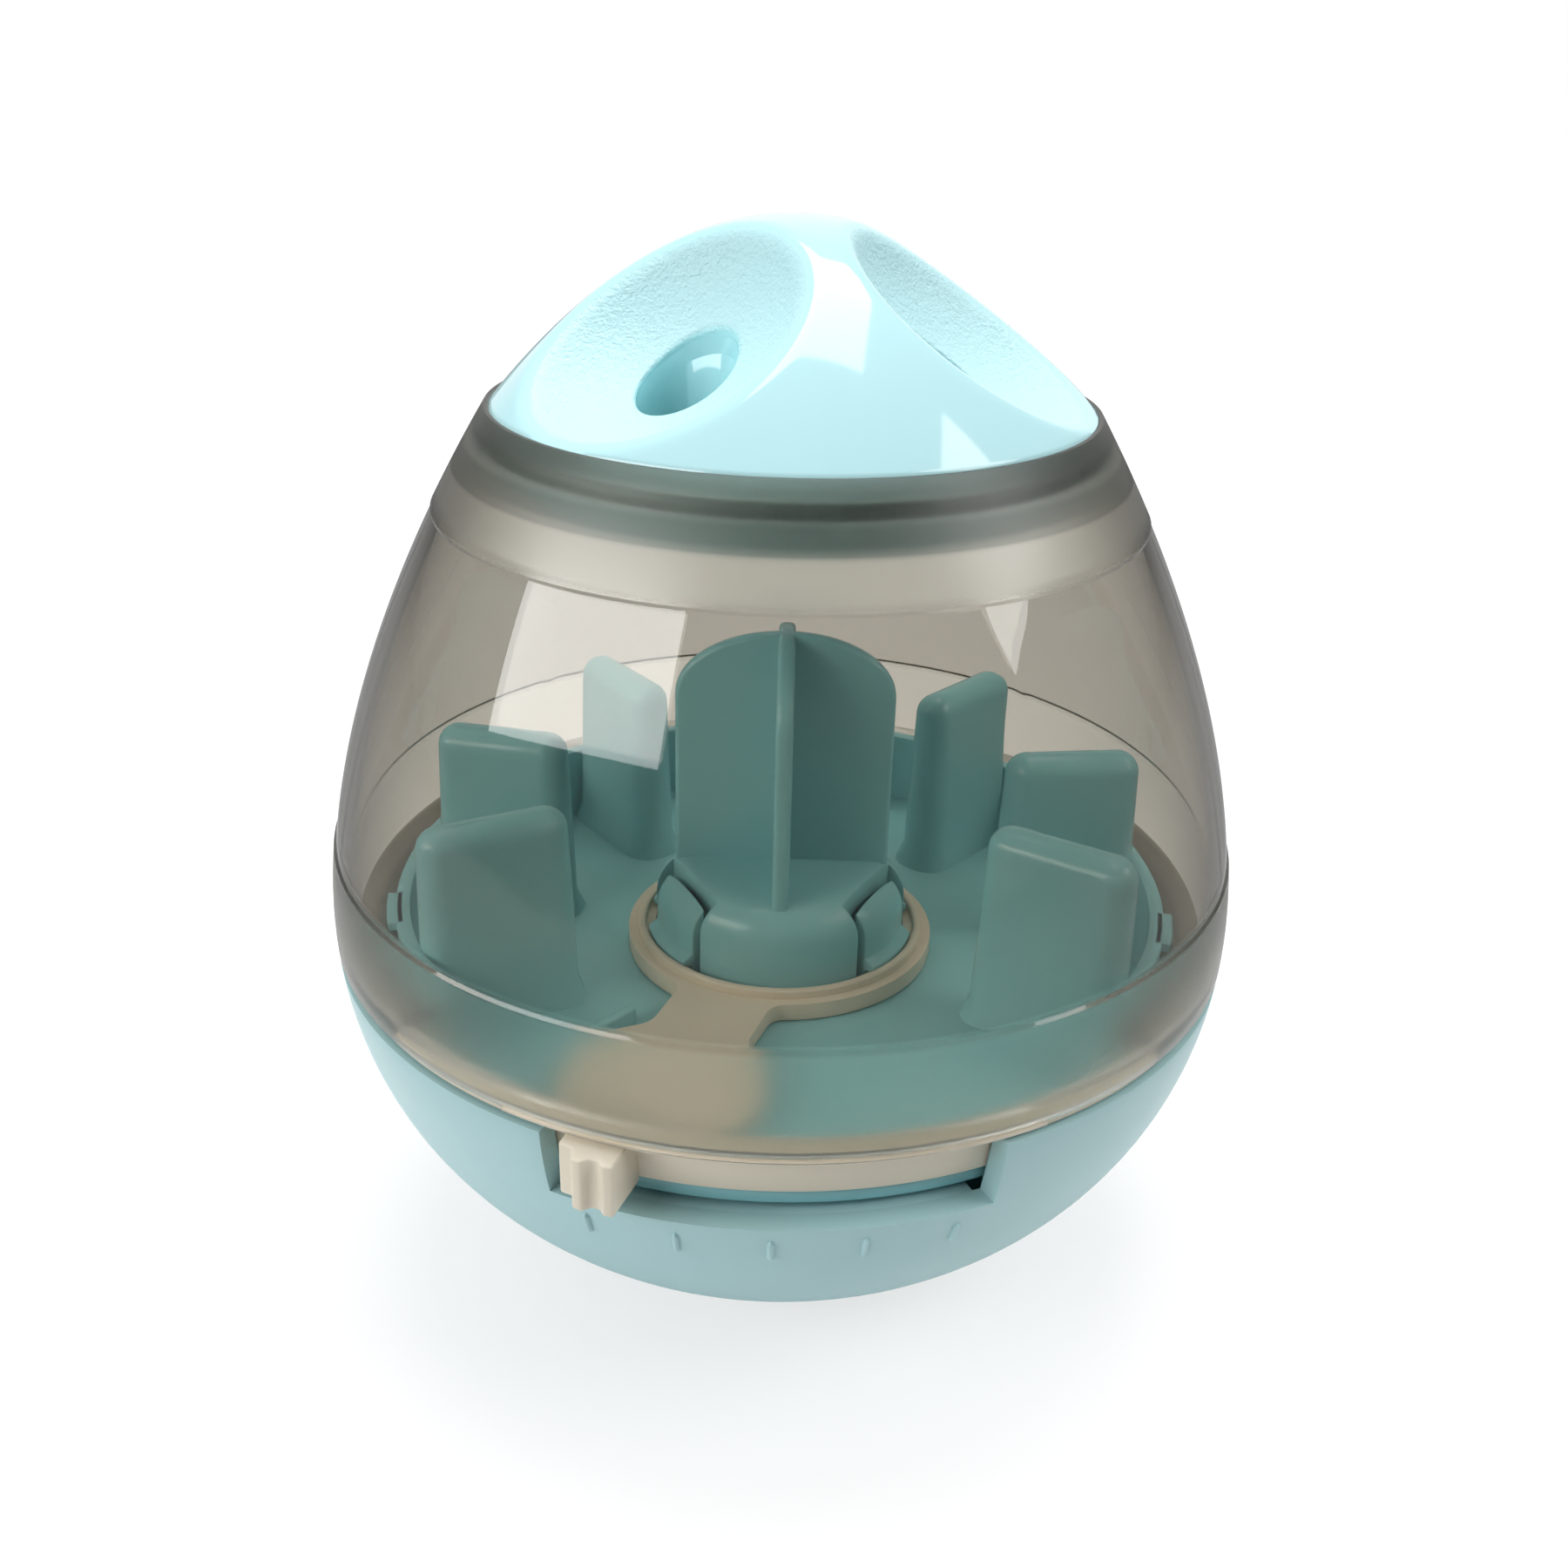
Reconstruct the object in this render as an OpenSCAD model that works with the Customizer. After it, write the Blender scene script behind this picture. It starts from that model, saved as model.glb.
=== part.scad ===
// Treat dispensing ball
// A round-bottomed tumbler. Food lies in the bowl over a counterweight, comes up through a gate
// that the side lever opens or shuts, tumbles among fins in the clear shell and falls out of
// three outlets in the cap. Millimetres, foot on z = 0, lever slot towards -Y.

/* [Ball outline] */
// Widest diameter of the ball
ball_d = 120; // [100:1:180]
// Height of the widest circle above the foot
equator_h = 52.5; // [45:0.5:80]
// Diameter of the small flat foot
foot_d = 23.4; // [10:0.2:40]
// Height above the widest circle at which the upper curve would close
crown_reach = 111.9; // [95:0.5:180]
// Height of the shell's mouth above the widest circle
mouth_rise = 64.5; // [55:0.5:80]
// Height of the cap's dome above the shell's mouth
cap_rise = 21.6; // [14:0.5:30]

/* [Base bowl] */
// Wall of the base bowl
base_wall = 2.8; // [2:0.1:4]
// Drop from the widest circle to the bowl's rim
rim_drop = 5; // [2:0.5:12]
// Depth of the lever slot below the rim
slot_depth = 9.3; // [8.5:0.1:14]
// Angle from one setting mark to the next
mark_pitch = 10.75; // [8:0.25:11]
// Length of a setting mark
mark_len = 3.7; // [2:0.1:6]
// Width of a setting mark
mark_w = 0.9; // [0.6:0.1:1.5]
// Height of a setting mark above the bowl's skin
mark_proud = 0.5; // [0.3:0.1:1]
// Drop from the slot's lower edge to the marks
mark_drop = 2; // [1:0.1:4]
// Number of ribs that carry the maze plate
rest_ribs = 12; // [6:2:16]
// Thickness of a rib that carries the maze plate
rest_rib_t = 1.6; // [1:0.1:2.5]
// Height of those ribs
rest_rib_h = 13; // [8:0.5:16]
// Length of those ribs in from the wall, at the top
rest_rib_len = 5; // [3:0.5:8]

/* [Counterweight] */
// Free space between the iron weight and the screw bosses
weight_gap = 1.8; // [0.5:0.1:4]
// Thickness of the iron weight
weight_h = 9; // [5:0.5:12]
// Bevel round the iron weight's edge
weight_bevel = 2.2; // [0.5:0.1:3]
// Height of the weight's seat above the foot
weight_seat_h = 6.8; // [6:0.1:9]
// Thickness of the cover over the weight
cover_t = 1.8; // [1.2:0.1:3]
// Depth of the dish in the cover
cover_dish = 2.5; // [1:0.5:4]
// Distance of the cover's screws in from its edge
cover_screw_in = 8.3; // [6:0.1:12]
// Diameter of the screw bosses
boss_d = 6.4; // [5:0.2:8]
// Diameter of the screws' shanks
screw_d = 2.6; // [2:0.1:4]
// Diameter of the screws' heads
screw_head_d = 5.2; // [4:0.1:7]
// Height of the screws' heads
screw_head_h = 1.9; // [1.2:0.1:3]
// Length of the screws below the head
screw_len = 8; // [6:0.5:12]

/* [Maze plate] */
// Thickness of the maze plate's floor
plate_t = 2; // [1.5:0.1:3]
// Drop from the bowl's rim to the top of the floor
floor_drop = 6.3; // [6:0.1:9]
// Width of the ledge at the shell's foot, outside the collar
ledge_w = 5.4; // [4:0.1:8]
// Wall of the collar, the skirt and the hub
plate_wall = 2; // [1.4:0.1:3]
// Height of the collar above the floor
collar_h = 11.1; // [10:0.1:16]
// Half of the angle that the collar leaves open for the regulator
collar_gap_angle = 50; // [46:1:56]
// Depth of the skirt below the floor
skirt_h = 5; // [3:0.5:8]
// Width of a locking lug, as an angle
lug_angle = 9; // [6:1:12]
// How far a locking lug stands out
lug_out = 1.1; // [0.9:0.1:2]
// Thickness of a locking lug
lug_t = 1.2; // [0.8:0.1:2]
// Radius of the gate hole
gate_r = 9.5; // [6:0.5:11]
// Distance of the gate hole's middle in from the collar's outside
gate_in = 11.8; // [10:0.1:14]
// Number of places in the ring of fins
fin_count = 7; // [5:1:8]
// Angle from one fin to the next
fin_pitch = 40; // [36:1:48]
// Turn of the whole ring of fins from the back
fin_turn = -2; // [-5:0.5:5]
// Height of the fins above the floor
fin_h = 27.4; // [16:0.2:32]
// Distance of the fins' outer ends in from the collar's outside, at the floor
fin_edge = 1.4; // [1:0.1:6]
// Length of the fins along the radius, at the floor
fin_len = 20.8; // [12:0.2:21.2]
// Thickness of the fins at the floor
fin_t = 7.6; // [4:0.1:9]
// Lean of each face of a fin over its height
fin_lean = 0.8; // [0.3:0.1:1.5]
// Rounding of the fins' corners
fin_round = 2.9; // [1:0.1:3]

/* [Hub and centre post] */
// Diameter of the hub that the regulator turns on
hub_d = 34.4; // [30:0.2:38]
// Height of the hub's crown above the floor
hub_h = 13.2; // [11:0.2:18]
// Rounding of the hub's shoulder
hub_round = 5; // [3:0.2:6]
// Distance of a hub notch's flat back from the axis
notch_in = 13.6; // [12:0.1:14.5]
// Half of a hub notch's width
notch_half = 6.6; // [5:0.1:7]
// Angle of the notches from the front and from the back
notch_angle = 61; // [52:1:64]
// Height of the snap claws above the floor
claw_h = 12.2; // [8:0.2:12.6]
// Thickness of the snap claws
claw_t = 1.7; // [1.2:0.1:2.5]
// Gap round each claw inside its notch
claw_gap = 0.7; // [0.5:0.1:1.5]
// Overhang of a claw's barb past the hub
claw_barb = 1.3; // [0.8:0.1:1.8]
// Height of the centre post above the floor
post_h = 45.8; // [38:0.2:52]
// Thickness of the post's blades
blade_t = 2.2; // [1.5:0.1:4]
// Half of a blade's width
blade_half = 14.6; // [10:0.2:15.5]
// Height of the arch that ends a blade
arch_h = 8.8; // [5:0.2:14]

/* [Regulator] */
// Thickness of the regulator's ring and neck
reg_t = 2.3; // [1.6:0.1:3]
// Outer diameter of the ring round the hub
reg_ring_d = 42.4; // [41:0.2:46]
// Height of the raised bead on the ring
bead_h = 1.2; // [0.6:0.1:2]
// Width of the raised bead on the ring
bead_w = 1.1; // [0.8:0.1:1.6]
// Half of the neck's width
neck_half = 6.4; // [5:0.1:9]
// Radius of the shutter disc
shutter_r = 12.4; // [11:0.1:13]
// Half of the strap's width from the disc to the outer band
strap_half = 10; // [7:0.1:11]
// Rounding where the neck meets the ring
neck_round = 2.6; // [1.5:0.1:4]
// Rounding where the neck meets the shutter disc
disc_round = 4; // [2:0.1:5]
// Thickness of the outer band
band_t = 1.4; // [1.2:0.1:2.4]
// Thickness of the flange in the seam
flange_t = 1.1; // [0.8:0.1:1.6]
// How far the flange's edge stays inside the ball's skin
flange_in = 0.7; // [0.3:0.1:1.2]
// Width of the knob
knob_w = 7.4; // [5:0.1:9]
// Height of the knob
knob_h = 6.9; // [4:0.1:7.4]
// How far the knob's grip stands out of the ball
knob_out = 2.9; // [2:0.1:4]
// Turn of the lever from the middle of the slot, as shown
lever_rest = -19.3; // [-21:0.1:21]

/* [Clear shell] */
// Wall of the clear shell
shell_wall = 2.2; // [1.5:0.1:3]
// Height of the lower frosted band above the widest circle
frost_low = 9.5; // [6:0.5:20]
// Depth of the upper frosted band below the mouth
frost_high = 12; // [8:0.5:20]
// Step from a frosted band down to the clear zone
frost_step = 0.25; // [0.1:0.05:0.5]
// Thickness of the ledge at the shell's foot
ledge_t = 1.6; // [1.2:0.1:2.4]
// Width of the lip round the mouth
lip_w = 0.5; // [0.4:0.1:2]
// Depth of the cap's seat below the mouth
seat_depth = 3; // [2:0.1:5]
// Width of the cap's seat
seat_w = 2.3; // [1.5:0.1:3]
// Thickness of the cap's seat
seat_t = 1.5; // [1:0.1:2.5]
// Drop of the apron in front of the flange
apron_drop = 0.6; // [0.3:0.1:0.8]
// Half of the apron's angle
apron_half_angle = 30.5; // [27:0.5:40]

/* [Cap] */
// Wall of the cap
cap_wall = 2; // [1.4:0.1:3]
// Radius of the ball that scoops each dish
dish_r = 24.4; // [16:0.2:28]
// Distance of that ball's centre in from the cap's edge
dish_in = 5.6; // [0:0.1:10]
// Height of that ball's centre above the mouth
dish_up = 24.9; // [16:0.2:30]
// Turn of the first dish from the front
dish_turn = -44; // [-60:0.5:60]
// Radius of an outlet
outlet_r = 5.8; // [4:0.1:7]
// Distance of an outlet in from the dish ball's centre
outlet_in = 13.5; // [8:0.1:16]
// Wall of an outlet's duct
duct_wall = 1.4; // [1:0.1:2]
// Depth of the cap's skirt below its flange
cap_skirt_h = 6.5; // [4:0.5:9]
// Width of a snap hook on the skirt, as an angle
snap_angle = 16; // [10:1:24]
// Overhang of a snap hook
snap_out = 1; // [0.5:0.1:1.4]

/* [Hidden] */
// Gap between pieces that move past each other
run_gap = 0.3;
// Gap between pieces that only fit together
fit_gap = 0.1;
// Free space round the maze plate's edge in the bowl
plate_gap = 0.8;
// Overrun of every cut
cut = 1;
belly_power = 2.1;
crown_power = 1.77;
dome_power = 2;
curve_steps = 16;
round_steps = 6;
$fn = 96;

ball_r = ball_d / 2;
foot_r = foot_d / 2;
hub_r = hub_d / 2;
bowl_depth = equator_h / pow(1 - pow(foot_r / ball_r, belly_power), 1 / belly_power);
base_rim_h = equator_h - rim_drop;
slot_low_h = base_rim_h - slot_depth;
mark_top_h = slot_low_h - mark_drop;
floor_h = base_rim_h - floor_drop;
plate_low_h = floor_h - plate_t;
skirt_low_h = plate_low_h - skirt_h;
flange_low_h = base_rim_h + run_gap;
flange_top_h = flange_low_h + flange_t;
shell_low_h = flange_top_h + run_gap;
mouth_h = equator_h + mouth_rise;
frost_low_h = equator_h + frost_low;
frost_high_h = mouth_h - frost_high;
seat_h = mouth_h - seat_depth;
collar_r = ball_r - shell_wall - ledge_w;
skirt_r = collar_r;
gate_at = collar_r - gate_in;
fin_out = collar_r - fin_edge;
fin_in = fin_out - fin_len;
// outer radius of the regulator's band at its foot and its top, clear of the bowl's wall
band_r = skin_r(floor_h, base_wall) - run_gap - fit_gap;
band_top_r = skin_r(flange_low_h, base_wall) - run_gap - fit_gap;
// the lever goes from the first mark to the last, and the slot ends just past its knob
lever_reach = 2 * mark_pitch;
slot_half_angle = lever_reach + asin((knob_w / 2 + run_gap) / band_r);
// the stop that the shutter disc meets with its side
stop_t = plate_wall * 3 / 4;
stop_in = fin_in + stop_t - fin_len / 6;
stop_out = stop_in + fin_len / 3;
disc_angle = acos((stop_out * stop_out + gate_at * gate_at - shutter_r * shutter_r) / (2 * stop_out * gate_at));
stop_angle = lever_reach + disc_angle + asin((stop_t / 2 + 2 * run_gap) / stop_out);

// Radius of the ball's skin at a height, less an inset
function skin_r(z, inset = 0) = z < equator_h
    ? (ball_r - inset) * pow(max(0, 1 - pow((equator_h - z) / (bowl_depth - inset), belly_power)), 1 / belly_power)
    : ball_r * (1 - pow((z - equator_h) / crown_reach, crown_power)) - inset;
// Angle on the bowl's curve for a height
function bowl_angle(z, inset) = acos(pow((equator_h - z) / (bowl_depth - inset), belly_power / 2));
// Points up the bowl's curve from one height to another
function bowl_curve(inset, z0, z1, n) = let (a = bowl_angle(z0, inset), b = bowl_angle(z1, inset))
    [for (i = [0:n]) let (t = a + (b - a) * i / n)
        [(ball_r - inset) * pow(max(0, sin(t)), 2 / belly_power),
         equator_h - (bowl_depth - inset) * pow(max(0, cos(t)), 2 / belly_power)]];
// Points up the skin at even heights
function skin_curve(inset, z0, z1, n) = [for (i = [0:n]) let (z = z0 + (z1 - z0) * i / n) [skin_r(z, inset), z]];
function reverse(list) = [for (i = [len(list) - 1:-1:0]) list[i]];
// Points of an arc
function arc(cx, cy, r, a0, a1, n = round_steps) =
    [for (i = [0:n]) let (t = a0 + (a1 - a0) * i / n) [cx + r * cos(t), cy + r * sin(t)]];

// A pie slice centred on -Y that reaches past radius r
module slice(r, half_angle, z0, z1) {
    reach = r / cos(half_angle);
    translate([0, 0, z0])
    linear_extrude(z1 - z0)
    polygon([[0, 0], [-reach * sin(half_angle), -reach * cos(half_angle)],
        [0, -reach / cos(half_angle)], [reach * sin(half_angle), -reach * cos(half_angle)]]);
}
// A ring of rectangular section
module band(r_in, r_out, z0, z1) {
    rotate_extrude()
    polygon([[r_in, z0], [r_out, z0], [r_out, z1], [r_in, z1]]);
}
// A part of that ring, centred on -Y
module arc_band(r_in, r_out, z0, z1, half_angle) {
    intersection() {
        band(r_in, r_out, z0, z1);
        slice(r_out + cut, half_angle, z0 - cut, z1 + cut);
    }
}
// A pan-head screw, head on z = 0 pointing up, with its cross recess
module pan_screw() {
    recess_w = screw_head_d / 6;
    difference() {
        union() {
            translate([0, 0, -screw_len])
            cylinder(h = screw_len, d = screw_d);
            rotate_extrude()
            polygon(concat([[0, 0], [screw_head_d / 2, 0]],
                arc(screw_head_d / 2 - screw_head_h / 2, screw_head_h / 2, screw_head_h / 2, 0, 90),
                [[0, screw_head_h]]));
        }
        for (a = [0, 90])
        rotate(a)
        translate([-screw_head_d / 3, -recess_w / 2, screw_head_h / 3])
        cube([screw_head_d * 2 / 3, recess_w, screw_head_h]);
    }
}

// Base bowl

inner_floor_h = equator_h - (bowl_depth - base_wall);
cover_rim_h = weight_seat_h + weight_h + fit_gap + cover_t;
boss_top_h = cover_rim_h - cover_t;
cover_r = skin_r(boss_top_h, base_wall) - fit_gap;
cover_screw_r = cover_r - cover_screw_in;
weight_r = cover_screw_r - boss_d / 2 - weight_gap;

module bowl_shell() {
    rotate_extrude()
    polygon(concat([[0, 0]], bowl_curve(0, 0, base_rim_h, curve_steps),
        reverse(bowl_curve(base_wall, inner_floor_h, base_rim_h, curve_steps))));
}
// One rib on the wall that carries the maze plate's skirt
module rest_rib() {
    top_h = skirt_low_h - run_gap;
    low_h = top_h - rest_rib_h;
    top_in = skin_r(top_h, base_wall) - rest_rib_len;
    rotate([90, 0, -90])
    translate([0, 0, -rest_rib_t / 2])
    linear_extrude(rest_rib_t)
    polygon([[skin_r(low_h, base_wall / 2), low_h], [skin_r(low_h, base_wall), low_h], [top_in, top_h - rest_rib_len],
        [top_in, top_h], [skin_r(top_h, base_wall / 2), top_h]]);
}
// One raised setting mark
module setting_mark() {
    low_h = mark_top_h - mark_len;
    intersection() {
        rotate_extrude()
        polygon(concat([for (p = bowl_curve(0, low_h, mark_top_h, 4)) [p[0] + mark_proud, p[1]]],
            reverse(bowl_curve(base_wall / 2, low_h, mark_top_h, 4))));
        translate([-mark_w / 2, -ball_r, low_h])
        cube([mark_w, ball_r, mark_len]);
    }
}
// One hook in the bowl that the plate's lug turns under
module lug_hook() {
    low_h = skirt_low_h + lug_t + lug_t + run_gap;
    arc_band(skirt_r + run_gap, skin_r(low_h, base_wall / 2), low_h, low_h + lug_t, lug_angle / 2);
}
module base_bowl() {
    color([0.62, 0.79, 0.82])
    difference() {
        union() {
            bowl_shell();
            for (i = [0:rest_ribs - 1])
            rotate((i + 0.5) * 360 / rest_ribs)
            rest_rib();
            for (i = [-2:2])
            rotate(i * mark_pitch)
            setting_mark();
            for (a = [60, 180, 300])
            rotate(a + 1.6 * lug_angle)
            lug_hook();
            intersection() {
                for (a = [60, 180, 300])
                rotate(a)
                translate([0, -cover_screw_r, 0])
                cylinder(h = boss_top_h, d = boss_d, $fn = 32);
                rotate_extrude()
                polygon(concat([[0, 0]], bowl_curve(base_wall / 2, inner_floor_h - base_wall / 2, base_rim_h, curve_steps),
                    [[0, base_rim_h]]));
            }
            // the sill that backs the slot's lower edge
            arc_band(skirt_r + run_gap, skin_r(slot_low_h - base_wall, base_wall / 2), slot_low_h - base_wall,
                slot_low_h + cut, slot_half_angle - 1);
            // the seat ring under the weight
            intersection() {
                band(weight_r - weight_bevel - 2 * base_wall, weight_r - weight_bevel - base_wall,
                    inner_floor_h - base_wall / 2, weight_seat_h);
                rotate_extrude()
                polygon(concat([[0, 0]], bowl_curve(base_wall / 2, inner_floor_h - base_wall / 2, base_rim_h, curve_steps),
                    [[0, base_rim_h]]));
            }
        }
        slice(ball_r + cut, slot_half_angle, slot_low_h, base_rim_h + cut);
        for (a = [60, 180, 300])
        rotate(a)
        translate([0, -cover_screw_r, boss_top_h - screw_len])
        cylinder(h = screw_len + cut, d = screw_d + fit_gap, $fn = 32);
    }
}

// Counterweight and its cover

module counterweight() {
    color([0.32, 0.32, 0.33])
    translate([0, 0, weight_seat_h])
    rotate_extrude()
    polygon([[0, 0], [weight_r - weight_bevel, 0], [weight_r, weight_bevel],
        [weight_r, weight_h - weight_bevel], [weight_r - weight_bevel, weight_h], [0, weight_h]]);
}
module weight_cover() {
    low = boss_top_h;
    rib_r = weight_r / 2;
    color([0.62, 0.79, 0.82])
    difference() {
        union() {
            rotate_extrude()
            polygon([[0, low + fit_gap], [weight_r, low + fit_gap], [weight_r, low], [cover_r, low],
                [skin_r(cover_rim_h, base_wall) - fit_gap, cover_rim_h], [cover_screw_r - boss_d / 2, cover_rim_h],
                [rib_r, low + fit_gap + cover_t], [0, low + fit_gap + cover_t]]);
            // raised edge against the bowl's wall
            rotate_extrude()
            polygon([[skin_r(cover_rim_h, base_wall) - fit_gap - cover_t, cover_rim_h],
                [skin_r(cover_rim_h, base_wall) - fit_gap, cover_rim_h],
                [skin_r(cover_rim_h + cover_dish, base_wall) - fit_gap, cover_rim_h + cover_dish],
                [skin_r(cover_rim_h + cover_dish, base_wall) - fit_gap - cover_t, cover_rim_h + cover_dish]]);
        }
        for (a = [60, 180, 300])
        rotate(a)
        translate([0, -cover_screw_r, low - cut])
        cylinder(h = cover_t + 2 * cut, d = screw_d + 2 * fit_gap, $fn = 32);
    }
}
module weight_screws() {
    color("silver")
    for (a = [60, 180, 300])
    rotate(a)
    translate([0, -cover_screw_r, cover_rim_h])
    pan_screw($fn = 32);
}

// Maze plate

floor_r = skin_r(plate_low_h, base_wall) - plate_gap;
post_boss_r = screw_head_d / 2 + plate_wall;

// Three profiles crossed: side view, plan and end view of one fin
module fin() {
    low = floor_h - plate_t / 2;
    high = floor_h + fin_h;
    end_r = fin_t / 2;
    top_r = min(fin_round, end_r - fin_lean - fit_gap);
    intersection() {
        // side view, with rounded top corners
        rotate([90, 0, 90])
        translate([0, 0, -fin_t])
        linear_extrude(2 * fin_t)
        polygon(concat([[-fin_out, low], [-fin_in, low]],
            arc(-fin_in - fin_lean - top_r, high - top_r, top_r, 0, 90),
            arc(-fin_out + fin_lean + top_r, high - top_r, top_r, 90, 180)));
        // plan, with rounded ends
        translate([0, 0, low])
        linear_extrude(high - low)
        polygon(concat(arc(0, -fin_in - end_r, end_r, 0, 180, 2 * round_steps),
            arc(0, -fin_out + end_r, end_r, 180, 360, 2 * round_steps)));
        // end view, with leaning faces and a rounded top
        rotate([90, 0, 0])
        translate([0, 0, fin_in - cut])
        linear_extrude(fin_len + 2 * cut)
        polygon(concat([[-end_r, low], [end_r, low]],
            arc(end_r - fin_lean - top_r, high - top_r, top_r, 0, 90),
            arc(-end_r + fin_lean + top_r, high - top_r, top_r, 90, 180)));
    }
}
// One snap claw at the hub, its barb outwards
module claw() {
    back = notch_in + claw_gap;
    tip_h = floor_h + claw_h;
    catch_h = floor_h + run_gap + reg_t + run_gap;
    intersection() {
        translate([-notch_half + claw_gap, -hub_r - claw_barb, floor_h - plate_t / 2])
        cube([2 * (notch_half - claw_gap), hub_r + claw_barb - back, claw_h + plate_t]);
        rotate_extrude()
        polygon(concat([[0, floor_h - plate_t], [hub_r, floor_h - plate_t], [hub_r, catch_h],
            [hub_r + claw_barb, catch_h], [hub_r + claw_barb, catch_h + claw_t / 2], [hub_r, catch_h + claw_t]],
            arc(hub_r - hub_round, tip_h - hub_round, hub_round, 0, 90), [[0, tip_h]]));
    }
}
module maze_plate() {
    skirt_in = skirt_r - plate_wall;
    color([0.36, 0.62, 0.64])
    difference() {
        union() {
            rotate_extrude()
            polygon([[0, plate_low_h], [skirt_in, plate_low_h], [skirt_in, skirt_low_h], [skirt_r, skirt_low_h],
                [skirt_r, plate_low_h], [floor_r, plate_low_h], [floor_r, floor_h], [0, floor_h]]);
            // the collar, open at the front for the regulator
            difference() {
                band(collar_r - plate_wall, collar_r, floor_h - plate_t / 2, floor_h + collar_h);
                slice(collar_r + cut, collar_gap_angle, floor_h, floor_h + collar_h + cut);
            }
            // lugs that hold the shell's ledge
            for (a = [75, 130, -75, -130])
            rotate(a)
            arc_band(collar_r - plate_wall / 2, collar_r + lug_out, floor_h + collar_h - lug_t, floor_h + collar_h, lug_angle / 2);
            // lugs that turn under the bowl's hooks
            for (a = [60, 180, 300])
            rotate(a)
            arc_band(skirt_r - plate_wall / 2, skirt_r + lug_out, skirt_low_h, skirt_low_h + lug_t, lug_angle / 2);
            for (i = [0:fin_count - 1])
            rotate(180 + fin_turn + (i - (fin_count - 1) / 2) * fin_pitch)
            fin();
            for (a = [-notch_angle, notch_angle, 180 - notch_angle, 180 + notch_angle])
            rotate(a)
            claw();
            // end stop for the shutter
            rotate(-stop_angle)
            translate([-stop_t / 2, -stop_out, floor_h - plate_t / 2])
            cube([stop_t, stop_out - stop_in, plate_t / 2 + reg_t]);
            // stiffening ribs under the floor
            for (i = [0:5])
            rotate(i * 60 + 10)
            translate([-plate_wall / 2, -skirt_r + plate_wall / 2, skirt_low_h + plate_wall])
            cube([plate_wall, skirt_r - plate_wall - hub_r, skirt_h - plate_wall + plate_t / 2]);
            // boss for the post's screw
            translate([0, 0, skirt_low_h + plate_wall])
            cylinder(h = skirt_h - plate_wall + plate_t / 2, r = post_boss_r, $fn = 48);
            band(hub_r - plate_wall, hub_r, skirt_low_h + plate_wall, floor_h - plate_t / 2);
        }
        rotate(lever_rest)
        translate([0, -gate_at, skirt_low_h - cut])
        cylinder(h = skirt_h + plate_t + 2 * cut, r = gate_r);
        translate([0, 0, skirt_low_h - cut])
        cylinder(h = skirt_h + plate_t + 2 * cut, d = screw_d + 2 * fit_gap, $fn = 32);
        translate([0, 0, skirt_low_h - cut])
        cylinder(h = skirt_h - plate_wall + cut, d = screw_head_d + 4 * fit_gap, $fn = 32);
        // windows under the barbs, through which the claws are moulded
        for (a = [-notch_angle, notch_angle, 180 - notch_angle, 180 + notch_angle])
        rotate(a)
        translate([-notch_half + claw_gap, -hub_r - claw_barb - claw_t, skirt_low_h - cut])
        cube([2 * (notch_half - claw_gap), claw_barb + claw_t - fit_gap, skirt_h + plate_t + 2 * cut]);
    }
}

// Centre post

module blade() {
    foot = floor_h + hub_h - hub_round;
    shoulder_h = floor_h + post_h - arch_h;
    rotate([90, 0, 0])
    translate([0, 0, -blade_t / 2])
    linear_extrude(blade_t)
    polygon(concat([[-blade_half, foot], [blade_half, foot]],
        [for (p = arc(0, 0, 1, 0, 180, 2 * round_steps)) [blade_half * p[0], shoulder_h + arch_h * p[1]]]));
}
module centre_post() {
    crown = floor_h + hub_h;
    color([0.36, 0.62, 0.64])
    union() {
        difference() {
            rotate_extrude()
            polygon(concat([[0, floor_h], [post_boss_r, floor_h], [post_boss_r, crown - plate_wall],
                [hub_r - hub_round, crown - plate_wall], [hub_r - plate_wall, crown - hub_round],
                [hub_r - plate_wall, floor_h], [hub_r, floor_h]],
                arc(hub_r - hub_round, crown - hub_round, hub_round, 0, 90), [[0, crown]]));
            for (a = [-notch_angle, notch_angle, 180 - notch_angle, 180 + notch_angle])
            rotate(a)
            translate([-notch_half, -hub_r - cut, floor_h - cut])
            cube([2 * notch_half, hub_r + cut - notch_in, hub_h + 2 * cut]);
            translate([0, 0, floor_h - cut])
            cylinder(h = screw_len, d = screw_d + fit_gap, $fn = 32);
        }
        blade();
        rotate(90)
        blade();
    }
}
module post_screw() {
    color("silver")
    translate([0, 0, skirt_low_h + skirt_h - plate_wall])
    rotate([180, 0, 0])
    pan_screw($fn = 32);
}

// Regulator

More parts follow.
